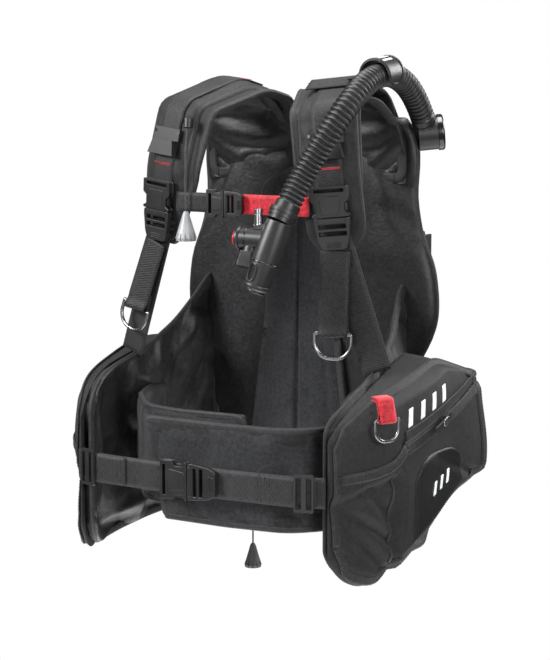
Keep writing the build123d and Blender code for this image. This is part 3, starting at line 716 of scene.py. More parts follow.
for side, tag in SIDES:
    name = f"lobe_{tag}"
    mid = lobe_sheet(side, lambda u, v: -LOBE_T / 2)
    outer = lobe_sheet(side, lambda u, v: -LOBE_T / 2 + swell(u, v))
    inner = lobe_sheet(side, lambda u, v: -LOBE_T / 2 - inner_swell(u, v))
    piece = soft_shell(name + "_cell", outer, inner, (LOBE_COLUMNS, LOBE_ROWS), (330, 250), LOBE_NYLON_PAINTED_LIGHT,
                       "nylon", side == RIGHT, 0.5, name, pressure=1.3, grow=0.07, cap=11.0)
    # The outer cloth is heavier than the inner one; the inner one keeps the nylon painted lighter, as painted
    # light on faces turned from the key lamp
    piece.data.materials.append(CORDURA)
    for face in list(piece.data.polygons)[:2 * LOBE_COLUMNS * LOBE_ROWS:2]:
        face.material_index = 1
    stitched_rim(name, mid, 0.014, 0.022, 12, 5.5)

# ---------------------------------------------------------------- back

BLADDER_HALF = ((25, 112), (60, 152), (240, 157), (272, 178), (300, 191), (330, 193), (352, 191),
                (380, 187), (424, 168), (470, 160), (524, 164), (560, 156), (575, 140))
BLADDER_Y = 135.5
BLADDER_SIZE = (300, 540)


def bladder_sheet(y_at):
    def surface(u, v):
        k = 2 * u - 1
        top = 548 + 26 * min(1, max(0, (abs(k) - 0.32) / 0.2))
        z = 28 + (top - 28) * v
        return Vector((k * eased(BLADDER_HALF, z), y_at(u, v), z))
    return surface


def bladder_swell(u, v):
    return 9.5 * pillow(u, v, *BLADDER_SIZE, 40) + 1.5


def bladder_rear(u, v):
    """The rear cloth stands prouder over the two wings."""
    wing = min(1, max(0, abs(2 * u - 1) - 0.5) * 4)
    return BLADDER_Y + bladder_swell(u, v) * (1.15 + 1.5 * wing)


mid = bladder_sheet(lambda u, v: BLADDER_Y)
front = bladder_sheet(lambda u, v: BLADDER_Y - bladder_swell(u, v) * 1.15)
back = bladder_sheet(bladder_rear)
soft_shell("bladder_cell", front, back, (40, 64), BLADDER_SIZE, NYLON, "nylon", False, 0.4, "rear_bladder",
           pressure=0.6, grow=0.025, cap=6.0)
stitched_rim("bladder", mid, 0.018, 0.012, 14, 6)

PAD_HALF = ((65, 84), (140, 79), (320, 53), (477, 62), (507, 44))
PAD_Y, PAD_SIZE = 112.0, (130, 442)


def pad_sheet(y_at):
    def surface(u, v):
        k = 2 * u - 1
        z = PAD_HALF[0][0] + (PAD_SIZE[1] - 26 * k * k * (v > 0.5)) * v
        return Vector((k * lookup(PAD_HALF, z), y_at(u, v), z))
    return surface


def pad_crown(u, v):
    channel = 3.2 * math.exp(-((u - 0.5) * PAD_SIZE[0] / 4) ** 2)
    return 11 * pillow(u, v, *PAD_SIZE, 16) - channel


mid = pad_sheet(lambda u, v: PAD_Y)
front = pad_sheet(lambda u, v: PAD_Y - pad_crown(u, v))
back = pad_sheet(lambda u, v: PAD_Y + 4 + 4 * pillow(u, v, *PAD_SIZE, 16))
soft_shell("pad_cushion", front, back, (48, 80), PAD_SIZE, PAD_CLOTH, "pad_cloth", False, 0.7, "back_pad",
           pressure=0.25, grow=0.012, cap=4.0)
stitched_rim("pad", mid, 0.045, 0.014, 13, 7)
lines = [[Vector((dx, PAD_Y - pad_crown(0.5 + dx / PAD_SIZE[0], 0.5) - 0.3, z)) for z in range(80, 492, 6)]
         for dx in (-4.0, 4.0)]
stitched("pad_seam_stitches", lines, FRONT)

# ---------------------------------------------------------------- shoulder straps

CREST = Vector((80, 85, 615))
TURN, TILT = math.radians(14), math.radians(6)
FORWARD = Vector((math.sin(TURN), -math.cos(TURN), 0))
OUTWARD = Vector((math.cos(TURN), math.sin(TURN), 0))
RISING = Vector((0, 0, 1)) * math.cos(TILT) - OUTWARD * math.sin(TILT)
ACROSS = -FORWARD.cross(RISING)
STRAP_FACE = ((-54, -54), (-40, -4), (15, 10), (112, -20), (129, -105), (124, -205))
STRAP_FILLETS = (30, 60, 28, 120)
STRAP_W, STRAP_T = 76.0, 18.0


def rounded(points, fillets, step=4.0):
    """Polyline in a plane with its corners replaced by arcs."""
    out = [Vector((*points[0], 0))]
    for before, corner, after, radius in zip(points, points[1:], points[2:], fillets):
        p = Vector((*corner, 0))
        a, b = (Vector((*before, 0)) - p).normalized(), (Vector((*after, 0)) - p).normalized()
        half = a.angle(b) / 2
        reach = radius / math.tan(half)
        centre = p + (a + b).normalized() * (radius / math.sin(half))
        start, end = p + a * reach - centre, p + b * reach - centre
        for k in range(9):
            out.append(centre + start.slerp(end, k / 8) * radius)
    out.append(Vector((*points[-1], 0)))
    return even_path(out, step)


STRAP_LINE = rounded(STRAP_FACE, STRAP_FILLETS)
STRAP_LENGTH = 4.0 * (len(STRAP_LINE) - 1)


def strap_frame(distance):
    """Point on the middle of the left strap's face and the outward normal there, by distance along it."""
    t = max(0.0, min(distance / STRAP_LENGTH, 1.0)) * (len(STRAP_LINE) - 1)
    i = min(int(t), len(STRAP_LINE) - 2)
    p = STRAP_LINE[i].lerp(STRAP_LINE[i + 1], t - i)
    ahead = (STRAP_LINE[min(i + 2, len(STRAP_LINE) - 1)] - STRAP_LINE[max(i - 1, 0)]).normalized()
    normal = Vector((-ahead.y, ahead.x))
    return (CREST + FORWARD * p.x + RISING * p.y, FORWARD * normal.x + RISING * normal.y)


def on_strap(side, distance, across, lift):
    p, n = strap_frame(distance)
    return mirrored(p + ACROSS * across + n * lift, side)


def strap_run(side, start, end, across=0.0, lift=0.0, step=5.0):
    """Path and normals along the strap's face."""
    count = max(2, round((end - start) / step))
    spots = [start + (end - start) * i / count for i in range(count + 1)]
    return ([on_strap(side, s, across, lift) for s in spots],
            [mirrored(strap_frame(s)[1], side) for s in spots])


def strap_half_width(v):
    tip = (1 - v) * STRAP_LENGTH
    return STRAP_W / 2 * (1.0 if tip > 34 else math.sqrt(max(0.05, 1 - ((34 - tip) / 34) ** 2)))


def strap_sheet(side, lift_at):
    def surface(u, v):
        across = (2 * u - 1) * strap_half_width(v)
        return on_strap(side, v * STRAP_LENGTH, across, lift_at(u, v))
    return surface


def strap_crown(u, v):
    return pillow(u, v, STRAP_W, STRAP_LENGTH, 12)


YOKE_LENGTH = STRAP_LENGTH - 26
YOKE_MEDIAL = {
    LEFT: ((0, 74), (50, 66), (110, 58), (180, 50), (YOKE_LENGTH - 60, 44), (YOKE_LENGTH, 30)),
    RIGHT: ((0, 76), (50, 72), (110, 70), (180, 66), (YOKE_LENGTH - 60, 56), (YOKE_LENGTH, 34)),
}
YOKE_LATERAL = ((0, 60), (50, 50), (110, 44), (180, 41), (YOKE_LENGTH - 60, 39), (YOKE_LENGTH, 24))
for side, tag in SIDES:
    name = f"shoulder_strap_{tag}"
    mid = strap_sheet(side, lambda u, v: -STRAP_T / 2)
    front = strap_sheet(side, lambda u, v: -STRAP_T / 2 + 2 + 6.4 * strap_crown(u, v))
    back = strap_sheet(side, lambda u, v: -STRAP_T / 2 - 2 - 6.8 * strap_crown(u, v))
    soft_shell(name + "_padding", front, back, (18, 84), (STRAP_W, STRAP_LENGTH), CORDURA, "cordura",
               side == LEFT, 0.7, name, pressure=0.3, grow=0.015, cap=2.5)
    stitched_rim(name, mid, 0.07, 0.012, 12, 9, corner=0.06)
    # Yoke: the strap's wide lining, which spreads towards the neck and joins the back
    def yoke_sheet(thick, side=side):
        def surface(u, v):
            distance = YOKE_LENGTH * v
            medial = lookup(YOKE_MEDIAL[side], distance)
            lateral = lookup(YOKE_LATERAL, distance)
            roll = 5.0 * max(0.0, 0.25 - u) * 4
            lift = -STRAP_T / 2 - 4 + roll + thick * pillow(u, v, 110, YOKE_LENGTH, 10)
            return on_strap(side, distance, -medial + (medial + lateral) * u, lift)
        return surface

    soft_shell(f"yoke_{tag}", yoke_sheet(3.5), yoke_sheet(-3.5), (26, 60), (110, YOKE_LENGTH), CORDURA,
               "cordura", side == LEFT, 0.4, pressure=0.3, grow=0.03, cap=3.5)
    stitched_rim(f"yoke_{tag}", yoke_sheet(0), 0.05, 0.012, 11, 6, corner=0.06)
    # Webbing sewn down the strap's face
    path, normals = strap_run(side, 64, STRAP_LENGTH - 66, lift=0.5)
    tape(f"strap_webbing_{tag}_cloth", path, normals, WIDE_WEB, WEB_T, node=f"strap_webbing_{tag}", lift=1.2)
    tacks = []
    for spot in (84, STRAP_LENGTH - 104):
        line = [on_strap(side, spot, a, 3.3) for a in range(-15, 16, 2)]
        normal = mirrored(strap_frame(spot)[1], side)
        for shift in (-0.8, 0.8):
            along = mirrored(strap_frame(spot)[1].cross(ACROSS), side)
            tacks += stitch_parts([p + along * shift for p in line], normal, pitch=1.5, long=1.6, wide=1.5)
    merged(f"bartacks_{tag}", tacks, THREAD_RED, slot="webbing_red")

# ---------------------------------------------------------------- back webbing

for side, tag in SIDES:
    down = [(x * side, y, z) for x, y, z in ((74, 154, 556), (66, 158, 520), (58, 172, 488), (52, 179.4, 470),
                                            (52, 179.6, 300))]
    path = spline_path(down, 6.0)
    tape(f"back_webbing_{tag}", path, BACK, WIDE_WEB, 2.2)
    lines = [[Vector(((52 + a) * side, 180.9, z)) for a in range(-15, 16, 3)] for z in (440, 452, 330, 318)]
    stitched(f"back_stitches_{tag}", lines, BACK, slot="webbing")
    across = [(x * side, y, z) for x, y, z in ((60, 179.4, 282), (78, 178, 270), (110, 171, 252),
                                              (142, 162, 236), (158, 152, 228), (174, 138, 222))]
    tape(f"side_webbing_{tag}", spline_path(across, 6.0), (0.35 * side, 1, 0), WIDE_WEB, 2.2)

# ---------------------------------------------------------------- collar

COLLAR_MEDIAL = ((13, 119, 496), (15, 119, 545), (28, 99, 585), (35, 74, 606))
COLLAR_LATERAL = ((150, 124, 486), (150, 118, 545), (132, 94, 590), (119, 62, 602))


def collar_sheet(side, lift_at):
    def surface(u, v):
        p = spline(COLLAR_MEDIAL, v * 3).lerp(spline(COLLAR_LATERAL, v * 3), u)
        p.y -= lift_at(u, v) - 5 * math.sin(math.pi * u)
        return mirrored(p, side)
    return surface


for side, tag in SIDES:
    name = f"collar_{tag}"
    front, back = (collar_sheet(side, lambda u, v, way=way: way * (4.5 * pillow(u, v, 120, 130, 20) + 0.5))
                   for way in (1, -1))
    soft_shell(name + "_lining", front, back, (30, 30), (130, 140), NYLON, "nylon", side == RIGHT, 0.4,
               pressure=0.8, grow=0.06, cap=8.0)
    stitched_rim(name, collar_sheet(side, lambda u, v: 0.0), 0.05, 0.05, 13, 6.5, corner=0.06)

# ---------------------------------------------------------------- webbing


def straight(a, b, step=6.0):
    return even_path([a, b], step)


# The shoulder buckles lie on the strap's last straight run, square to its face
LAST_RUN = (Vector(STRAP_FACE[-1]) - Vector(STRAP_FACE[-2])).normalized()
BUCKLE_UP = -(FORWARD * LAST_RUN.x + RISING * LAST_RUN.y)
BUCKLE_OUT = RISING * LAST_RUN.x - FORWARD * LAST_RUN.y
BUCKLE_ACROSS = BUCKLE_UP.cross(BUCKLE_OUT)
STRAP_TIP = CREST + FORWARD * STRAP_FACE[-1][0] + RISING * STRAP_FACE[-1][1]
BUCKLE = STRAP_TIP + BUCKLE_UP * 45.0566 + BUCKLE_OUT * 3.4
LOBE_ATTACH = Vector((184, -22, 262))
for side, tag in SIDES:
    path = straight(BUCKLE - BUCKLE_UP * 24 - BUCKLE_OUT * 5.0, LOBE_ATTACH)
    tape(f"load_webbing_{tag}_cloth", [mirrored(p, side) for p in path], mirrored(BUCKLE_OUT, side), WIDE_WEB,
         WEB_T, node=f"load_webbing_{tag}")

TAIL_START = BUCKLE - BUCKLE_UP * 43.5 + BUCKLE_OUT * 6.5
LOAD_RUN = (LOBE_ATTACH + Vector((0, 0, 8)) - (BUCKLE - BUCKLE_UP * 26 - BUCKLE_OUT * 5.0)).normalized()
RING_WIRE = 4.6
TAIL_T = 2.0
# The left tail hangs free, and the right one lies along its load webbing
TAIL_ENDS = (TAIL_START + Vector((-1, -3, -99)), TAIL_START + LOAD_RUN * 88 + BUCKLE_OUT * 5)
for (side, tag), end in zip(SIDES, TAIL_ENDS):
    down = (end - TAIL_START).normalized()
    ring = end + down * (RING_WIRE / 2 + 1.5)
    path = straight(TAIL_START - down, end + down * 0.6)
    # The webbing's end turns round the ring's bar and back up behind itself
    loop_r = RING_WIRE / 2 + 1.6
    behind = [ring + down * (loop_r * math.sin(a)) + BUCKLE_OUT * (loop_r * math.cos(a))
              for a in [math.radians(12 * k) for k in range(16)]]
    path = [p + BUCKLE_OUT * 1.2 for p in path[:-1]] + behind + [ring - down * 22 - BUCKLE_OUT * 2.2]
    path = [mirrored(p, side) for p in even_path(path, 3.0)]
    across = mirrored(BUCKLE_ACROSS, side) * side
    normals = [across.cross(heading(path, i)).normalized() for i in range(len(path))]
    tape(f"tail_webbing_{tag}_cloth", path, normals, WIDE_WEB, TAIL_T, body=f"shoulder_male_{tag}",
         node=f"tail_webbing_{tag}")

BELT_Z = 132.0
FOLD_T, FOLD_REACH, FOLD_STITCHES = 2.2, (96, 172), (100, 106, 112)
BELT_LINE = rounded(((14, -168), (60, -168), (150, -161), (181, -151)), (60, 60), 5.0)
for side, tag in SIDES:
    path = [mirrored((p.x, p.y, BELT_Z), side) for p in BELT_LINE]
    tape(f"waist_webbing_{tag}_cloth", path, FRONT, WIDE_WEB, WEB_T, node=f"waist_webbing_{tag}")
    # Loose end folded back over the belt, from the slider towards the buckle
    fold = [mirrored((p.x, p.y - 2.7, BELT_Z), side) for p in BELT_LINE
            if FOLD_REACH[0] < p.x < FOLD_REACH[1]]
    tape(f"belt_fold_{tag}", fold, FRONT, WIDE_WEB - 1, FOLD_T)
    lines = []
    for x in FOLD_STITCHES:
        y = next(p.y for p in BELT_LINE if p.x >= x) - 4.0
        lines.append([mirrored((x, y, BELT_Z + h), side) for h in range(-15, 16, 3)])
    stitched(f"belt_stitches_{tag}", lines, FRONT, slot="webbing")

STERNUM_Z = 467.0
tape("sternum_webbing_black_cloth", straight((-98, -44, STERNUM_Z), (-26, -46.8, STERNUM_Z)), FRONT,
     NARROW_WEB, WEB_T, node="sternum_webbing_black")
tape("sternum_webbing_red_cloth", straight((-12, -46.8, STERNUM_Z), (98, -44, STERNUM_Z)), FRONT, NARROW_WEB,
     WEB_T, WEBBING_RED, slot="webbing_red", node="sternum_webbing_red")
tape("sternum_fold", straight((29, -49.2, STERNUM_Z), (74, -48.4, STERNUM_Z)), FRONT, 24.4, FOLD_T,
     WEBBING_RED, slot="webbing_red")

# ---------------------------------------------------------------- cummerbund

WING_T, WING_SIZE = 7.0, (400, 130)
WING_SLANT = {LEFT: 34.0, RIGHT: 0.0}
WINGS = {
    LEFT: (((-86, -150), (40, -154), (124, -146), (157, -112), (172, -56), (175, 20)), (73, 205)),
    RIGHT: (((60, -138), (-40, -142), (-96, -128), (-150, -60), (-172, -10), (-175, 40)), (88, 215)),
}
for side, tag in SIDES:
    plan, (low, high) = WINGS[side]
    line = rounded(plan, (120, 60, 30, 60), 5.0)
    name = f"cummerbund_wing_{tag}"

    def wing_sheet(lift_at, line=line, side=side, low=low, high=high):
        def surface(u, v):
            start = WING_SLANT[side] * (1 - v) / (5.0 * (len(line) - 1))
            t = (start + u * (1 - start)) * (len(line) - 1)
            i = min(int(t), len(line) - 2)
            p = line[i].lerp(line[i + 1], t - i)
            ahead = (line[min(i + 2, len(line) - 1)] - line[max(i - 1, 0)]).normalized()
            out = Vector((ahead.y, -ahead.x, 0)) * side
            lift = lift_at(u, v)
            return Vector((p.x, p.y, low + (high - low) * v)) + out * lift
        return surface

    mid = wing_sheet(lambda u, v: -WING_T / 2)
    outer, inner = (
        wing_sheet(lambda u, v, way=way: way * (0.8 + 2.4 * pillow(u, v, *WING_SIZE, 18)) - WING_T / 2)
        for way in (1, -1))
    soft_shell(name + "_cloth", outer, inner, (60, 18), WING_SIZE, PAD_CLOTH, "pad_cloth", side == RIGHT,
               0.4, name, pressure=0.15, grow=0.012, cap=2.5)
    binding(name + "_border", *rim_track(mid, 0.03, 0.09, 0.05), 22, 6.6, LOOP_CLOTH)
    binding(name + "_edge", *rim_track(mid, 0.012, 0.04, 0.04), 9, 7.2)

# ---------------------------------------------------------------- pockets

POCKET_FACE = ((186, -146), (226, -96), (247, -20), (253, 65), (255, 148))
POCKET_TOP = ((-155, 180), (-136, 208), (-95, 238), (-60, 250), (60, 278), (110, 260), (155, 240))
POCKET_LEAN = ((60, 0.045), (150, 0.0))
POCKET_BOTTOM = ((-155, 62), (-132, 22), (-97, 4), (-58, 18), (15, 59), (85, 95), (155, 115))
POCKET_Y = (-153, 156)
FOLD_Y = -57.0
PATCH_CELLS = 16
ZIP_MIDDLE, ZIP_SLOPE = (30, 204), 0.28
TOOTH_PITCH = 2.1
POCKET_FACE_3D = [(x, y, 0) for x, y in POCKET_FACE]


def pocket_place(y, z, depth):
    """Point in the left pocket at (y, z): depth 0 on the lobe, 1 on the pocket's outer face."""
    low, high = 0.0, len(POCKET_FACE) - 1.0
    for _ in range(24):
        t = (low + high) / 2
        if spline(POCKET_FACE_3D, t).y < y:
            low = t
        else:
            high = t
    face = spline(POCKET_FACE_3D, t)
    u = (y - LOBE_FRONT_Y) / (LOBE_REAR_Y - LOBE_FRONT_Y)
    back = lobe_point(min(1, max(0, u)), z, LOBE_CLOTH)
    lean_in = face.x - lookup(POCKET_LEAN, y) * max(0, z - LEAN_FROM_Z)
    return Vector((back.x + (lean_in - back.x) * depth, face.y, z))


def pocket_sheet(side, depth_at):
    def surface(u, v):
        y = POCKET_Y[0] + (POCKET_Y[1] - POCKET_Y[0]) * u
        z = eased(POCKET_BOTTOM, y) * (1 - v) + eased(POCKET_TOP, y) * v
        return mirrored(pocket_place(y, z, depth_at(u, v, y, z)), side)
    return surface


def zip_height(y):
    return ZIP_MIDDLE[1] + (y - ZIP_MIDDLE[0]) * ZIP_SLOPE


def smooth_step(t):
    t = min(1.0, max(0.0, t))
    return t * t * (3 - 2 * t)


def bag(u, v, y, z):
    """How full the pocket stands at a place, from 0 to about 1: packed cloth with folds and a zip groove."""
    full = pillow(u, v, 305, 200, lookup(((0.0, 20), (0.6, 20), (0.9, 10)), u), 0.40)
    zip_z = zip_height(y)
    lower = smooth_step((zip_z - 26 - z) / 14)
    front = smooth_step((FOLD_Y - y) / 7)
    fold = 0.42 * math.exp(-((y - FOLD_Y + 2) / 4.0) ** 2) * smooth_step((152 - z) / 20)
    groove = 0.09 * math.exp(-((z - zip_z) / 6) ** 2) * (y > -58)
    gusset = 0.24 * lower * front
    folds = 0.27 * front * lower * (0.5 + 0.5 * math.sin((z * 0.8 + y * 0.9) / 9.5)) ** 2
    folds += 0.26 * front * math.exp(-((z - 86 + 0.75 * (y + 100)) / 7.5) ** 2)
    folds += 0.18 * front * math.exp(-((z - 128 - 0.35 * (y + 100)) / 7.5) ** 2)
    folds += 0.08 * lower * (1 - front) * math.exp(-((z - 120 + 0.4 * (y - 110)) / 8) ** 2)
    slope = 0.16 * smooth_step((z - zip_z - 4) / 60)
    sag = 0.05 * math.sin(y / 34 + 0.6) * math.sin(z / 30)
    return max(0.0, full * (0.99 + sag - gusset - folds - slope) - fold - groove)


def surface_of(piece):
    """Nearest-surface search on a finished piece, in wearer's millimetres."""
    bpy.context.view_layer.update()
    evaluated = piece.evaluated_get(bpy.context.evaluated_depsgraph_get())
    mesh = evaluated.to_mesh()
    verts = [piece.matrix_world @ v.co / MM + ORIGIN for v in mesh.vertices]
    tree = BVHTree.FromPolygons(verts, [tuple(f.vertices) for f in mesh.polygons])
    evaluated.to_mesh_clear()

    def find(point, direction):
        start = Vector(point) + Vector(direction) * 60
        hit, normal, _, _ = tree.ray_cast(start, -Vector(direction))
        if hit is None:
            hit, normal, _, _ = tree.find_nearest(Vector(point))
        return hit, normal if normal.dot(Vector(direction)) > 0 else -normal
    return find


def laid(find, points, direction, lift=0.0):
    """Points dropped on to a surface along a direction, with the normals there."""
    path, normals = [], []
    for p in points:
        hit, normal = find(p, direction)
        normals.append((normal + Vector(direction) * 0.8).normalized())
        path.append(hit + Vector(direction) * lift)
    return path, normals


def flat_patch(name, find, outline, outward, thick, material, slot):
    """Thin panel laid on a surface: outline(u, v) gives points, thickness goes outwards."""
    def top(u, v):
        rim = min(u, v, 1 - u, 1 - v) * PATCH_CELLS
        return find(outline(u, v), outward)[0] + outward * thick * (0.35 + 0.65 * min(1, rim))

    def under(u, v):
        return find(outline(u, v), outward)[0] - outward * 0.6

    verts, faces, _, _, _ = grid_shell(under, top, PATCH_CELLS, PATCH_CELLS, (1, 1))
    uvs = [(v.y * MM, v.z * MM) for v in verts]
    new_piece(name, verts, turned_over(faces, outward.x > 0), material, "vest", slot, uvs)


def sewn_tape(name, path, normals, width, thick, shift, lift):
    """Bound tape over a seam, with a row of stitches along each of its edges."""
    tape(name + "_tape", path, normals, width, thick, BINDING, slot="binding", edge=0.8)
    spots = frames_along(path, normals)
    lines = [[p + across * way for p, _, _, across in spots] for way in (-shift, shift)]
    stitched(name + "_stitches", lines, normals, lift=lift)


for side, tag in SIDES:
    outward = Vector((side, 0, 0))
    outer = pocket_sheet(side, bag)
    inner = pocket_sheet(side, lambda u, v, y, z: 0.0)
    verts, faces, uvs, rim, layer = grid_shell(outer, inner, 84, 60, (305, 200))
    uvs = [((v.y + abs(v.x)) * MM, v.z * MM) for v in verts]
    faces = turned_over(faces, side == RIGHT)
    piece = new_piece(f"pocket_{tag}_bag", verts, faces, CORDURA, "vest", "cordura", uvs)
    inflate(piece, set(range(layer, 2 * layer)) | set(rim), pressure=0.55, grow=0.055, cap=5.5)
    finish_shell(piece, f"pocket_{tag}")
    find = surface_of(piece)

    def on_pocket(y, z):
        return mirrored((250, y, z), side)

    # Bound edge of the outer face
    front = [(-138, z) for z in range(64, 186, 6)]
    top = [(y, eased(POCKET_TOP, y) - 9) for y in range(-128, 142, 6)]
    rear = [(141, z) for z in range(226, 122, -6)]
    bottom = [(y, eased(POCKET_BOTTOM, y) + 9) for y in range(138, -128, -6)]
    outline = [on_pocket(y, z) for y, z in front + top + rear + bottom]
    path, normals = laid(find, even_path(outline + outline[:1], 6.0), outward, 0.4)
    sewn_tape(f"pocket_{tag}_edge", path, normals, 14, 2.6, 4.2, 1.5)

    # Seam over the bellows, from the front edge to the zip
    line = spline_path([on_pocket(y, z) for y, z in ((-137, 146), (-104, 151), (-74, 159), (-50, 176))], 5.0)
    path, normals = laid(find, line, outward, 0.8)
    sewn_tape(f"pocket_{tag}_seam", path, normals, 13, 2.2, 4.0, 1.3)

    # Zip: two tapes, a row of teeth and stitches either side
    line = [(y, zip_height(y)) for y in range(-50, 137, 4)]
    for shift, number in ((-8.5, 1), (8.5, 2)):
        path, normals = laid(find, [on_pocket(y, z + shift) for y, z in line], outward, 0.6)
        tape(f"pocket_{tag}_zip_tape_{number}", path, normals, 13, 1.6, BINDING, slot="binding")
        path, normals = laid(find, [on_pocket(y, z + shift * 1.5) for y, z in line], outward, 1.3)
        stitched(f"pocket_{tag}_zip_stitches_{number}", [path], normals)
    teeth = []
    path, normals = laid(find, even_path([on_pocket(y, z) for y, z in line], TOOTH_PITCH), outward, 0.9)
    for i, (p, ahead, n, across) in enumerate(frames_along(path, normals)):
        middle = p + across * (0.8 if i % 2 else -0.8)
        a, b, h = ahead * 0.75, across * 2.0, n * 1.2
        corners = ((-1, -1), (1, -1), (1, 1), (-1, 1))
        box = [middle + a * sx + b * sy + h * sz for sz in (-0.4, 1) for sx, sy in corners]
        teeth.append((box, tube_faces(2, 4), [(0, 0)] * 8))
    merged(f"pocket_{tag}_zip_teeth", teeth, KNOB_GREY, slot="knob_grey", smooth=False)

    # Smooth panel low on the face, with a rounded top, and its plain mark
    def panel(u, v):
        y = -34 + 118 * u
        top_z = 158 - 26 * (2 * u - 1) ** 4 + 6 * u
        low_z = eased(POCKET_BOTTOM, y) + 20
        return on_pocket(y, low_z + (top_z - low_z) * v)

    flat_patch(f"pocket_{tag}_panel", find, panel, outward, 1.6, PANEL_CLOTH, "nylon")
    ring = [panel(0.04, v / 20) for v in range(21)] + [panel(u / 20, 0.97) for u in range(1, 20)]
    ring += [panel(0.96, 1 - v / 20) for v in range(21)]
    path, normals = laid(find, ring, outward, 1.5)
    stitched(f"pocket_{tag}_panel_stitches", [path], normals)

    # Bound ridge beside the bellows fold
    path, normals = laid(find, [on_pocket(FOLD_Y - 8, z) for z in range(34, 150, 5)], outward, 0.4)
    tape(f"pocket_{tag}_fold_tape", path, normals, 8, 2.6, BINDING, slot="binding", edge=0.8)

    # Plain printed marks, in place of the lettering
    def mark(name, y0, y1, z0, z1, slant=0.0, proud=0.9):
        def outline(u, v):
            y = y0 + (y1 - y0) * u
            return on_pocket(y + slant * v, z0 + (z1 - z0) * v + (y - y0) * ZIP_SLOPE)
        flat_patch(name, find, outline, outward, proud, PRINT, "knob_light")

    for k in range(4):
        mark(f"pocket_{tag}_print_{k + 1}", -44 + 25 * k, -36 + 25 * k, 200 + 7 * k, 222 + 6.4 * k, 7)
    for k in range(3):
        mark(f"pocket_{tag}_badge_{k + 1}", 4 + 17 * k, 9.5 + 17 * k, 106 + 5 * k, 124 + 5 * k, 5, 2.6)

# ---------------------------------------------------------------- side-release buckles


def closed_loop(corners, radius, steps=4):
    """Closed outline in a plane with every corner rounded."""
    out = []
    count = len(corners)
    for i, corner in enumerate(corners):
        p = Vector((*corner, 0))
        a, b = Vector((*corners[i - 1], 0)) - p, Vector((*corners[(i + 1) % count], 0)) - p
        half = a.angle(b) / 2
        reach = min(radius / math.tan(half), a.length * 0.45, b.length * 0.45)
        start, end = p + a.normalized() * reach, p + b.normalized() * reach
        for k in range(steps + 1):
            t = k / steps
            out.append(start * (1 - t) ** 2 + p * 2 * t * (1 - t) + end * t * t)
    return out


def four_sided(half_a, a, half_b, b, radius):
    """Rounded outline between y = a and y = b, symmetrical about x = 0, with a half width at each."""
    return closed_loop([(-half_a, a), (half_a, a), (half_b, b), (-half_b, b)], radius)


def moulded_plate(loops, low, high, edge):
    """Flat moulding between two heights, with holes and softened edges: verts, faces and uvs."""
    data = bpy.data.curves.new("plate", "CURVE")
    data.dimensions, data.fill_mode = "2D", "BOTH"
    data.extrude, data.bevel_depth, data.bevel_resolution = (high - low) / 2 - edge, edge, 2
    data.offset = -edge
    for loop in loops:
        line = data.splines.new("POLY")
        line.points.add(len(loop) - 1)
        for point, place in zip(line.points, loop):
            point.co = (place.x, place.y, 0, 1)
        line.use_cyclic_u = True
    shape = bpy.data.objects.new("plate", data)
    mesh = bpy.data.meshes.new_from_object(shape)
    bpy.data.objects.remove(shape)
    welded = bmesh.new()
    welded.from_mesh(mesh)
    bmesh.ops.remove_doubles(welded, verts=welded.verts, dist=0.01)
    welded.verts.ensure_lookup_table()
    verts = [Vector((v.co.x, v.co.y, v.co.z + (low + high) / 2)) for v in welded.verts]
    faces = [[v.index for v in f.verts] for f in welded.faces]
    welded.free()
    bpy.data.meshes.remove(mesh)
    return verts, faces, [(v.x * MM, v.y * MM) for v in verts]


def buckle_half(name, node, plates, frame, side, body):
    """Joins plates into one moulding, places it by (origin, x, y, z) and lets it stand for its CAD node."""
    origin, x, y, z = frame
    parts = []
    for verts, faces, uvs in plates:
        placed = [mirrored(origin + x * v.x + y * v.y + z * v.z, side) for v in verts]
        parts.append((placed, turned_over(faces, side == RIGHT), uvs))
    piece = merged(name, parts, PLASTIC, body, "plastic_black", smooth=False)
    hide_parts(node)


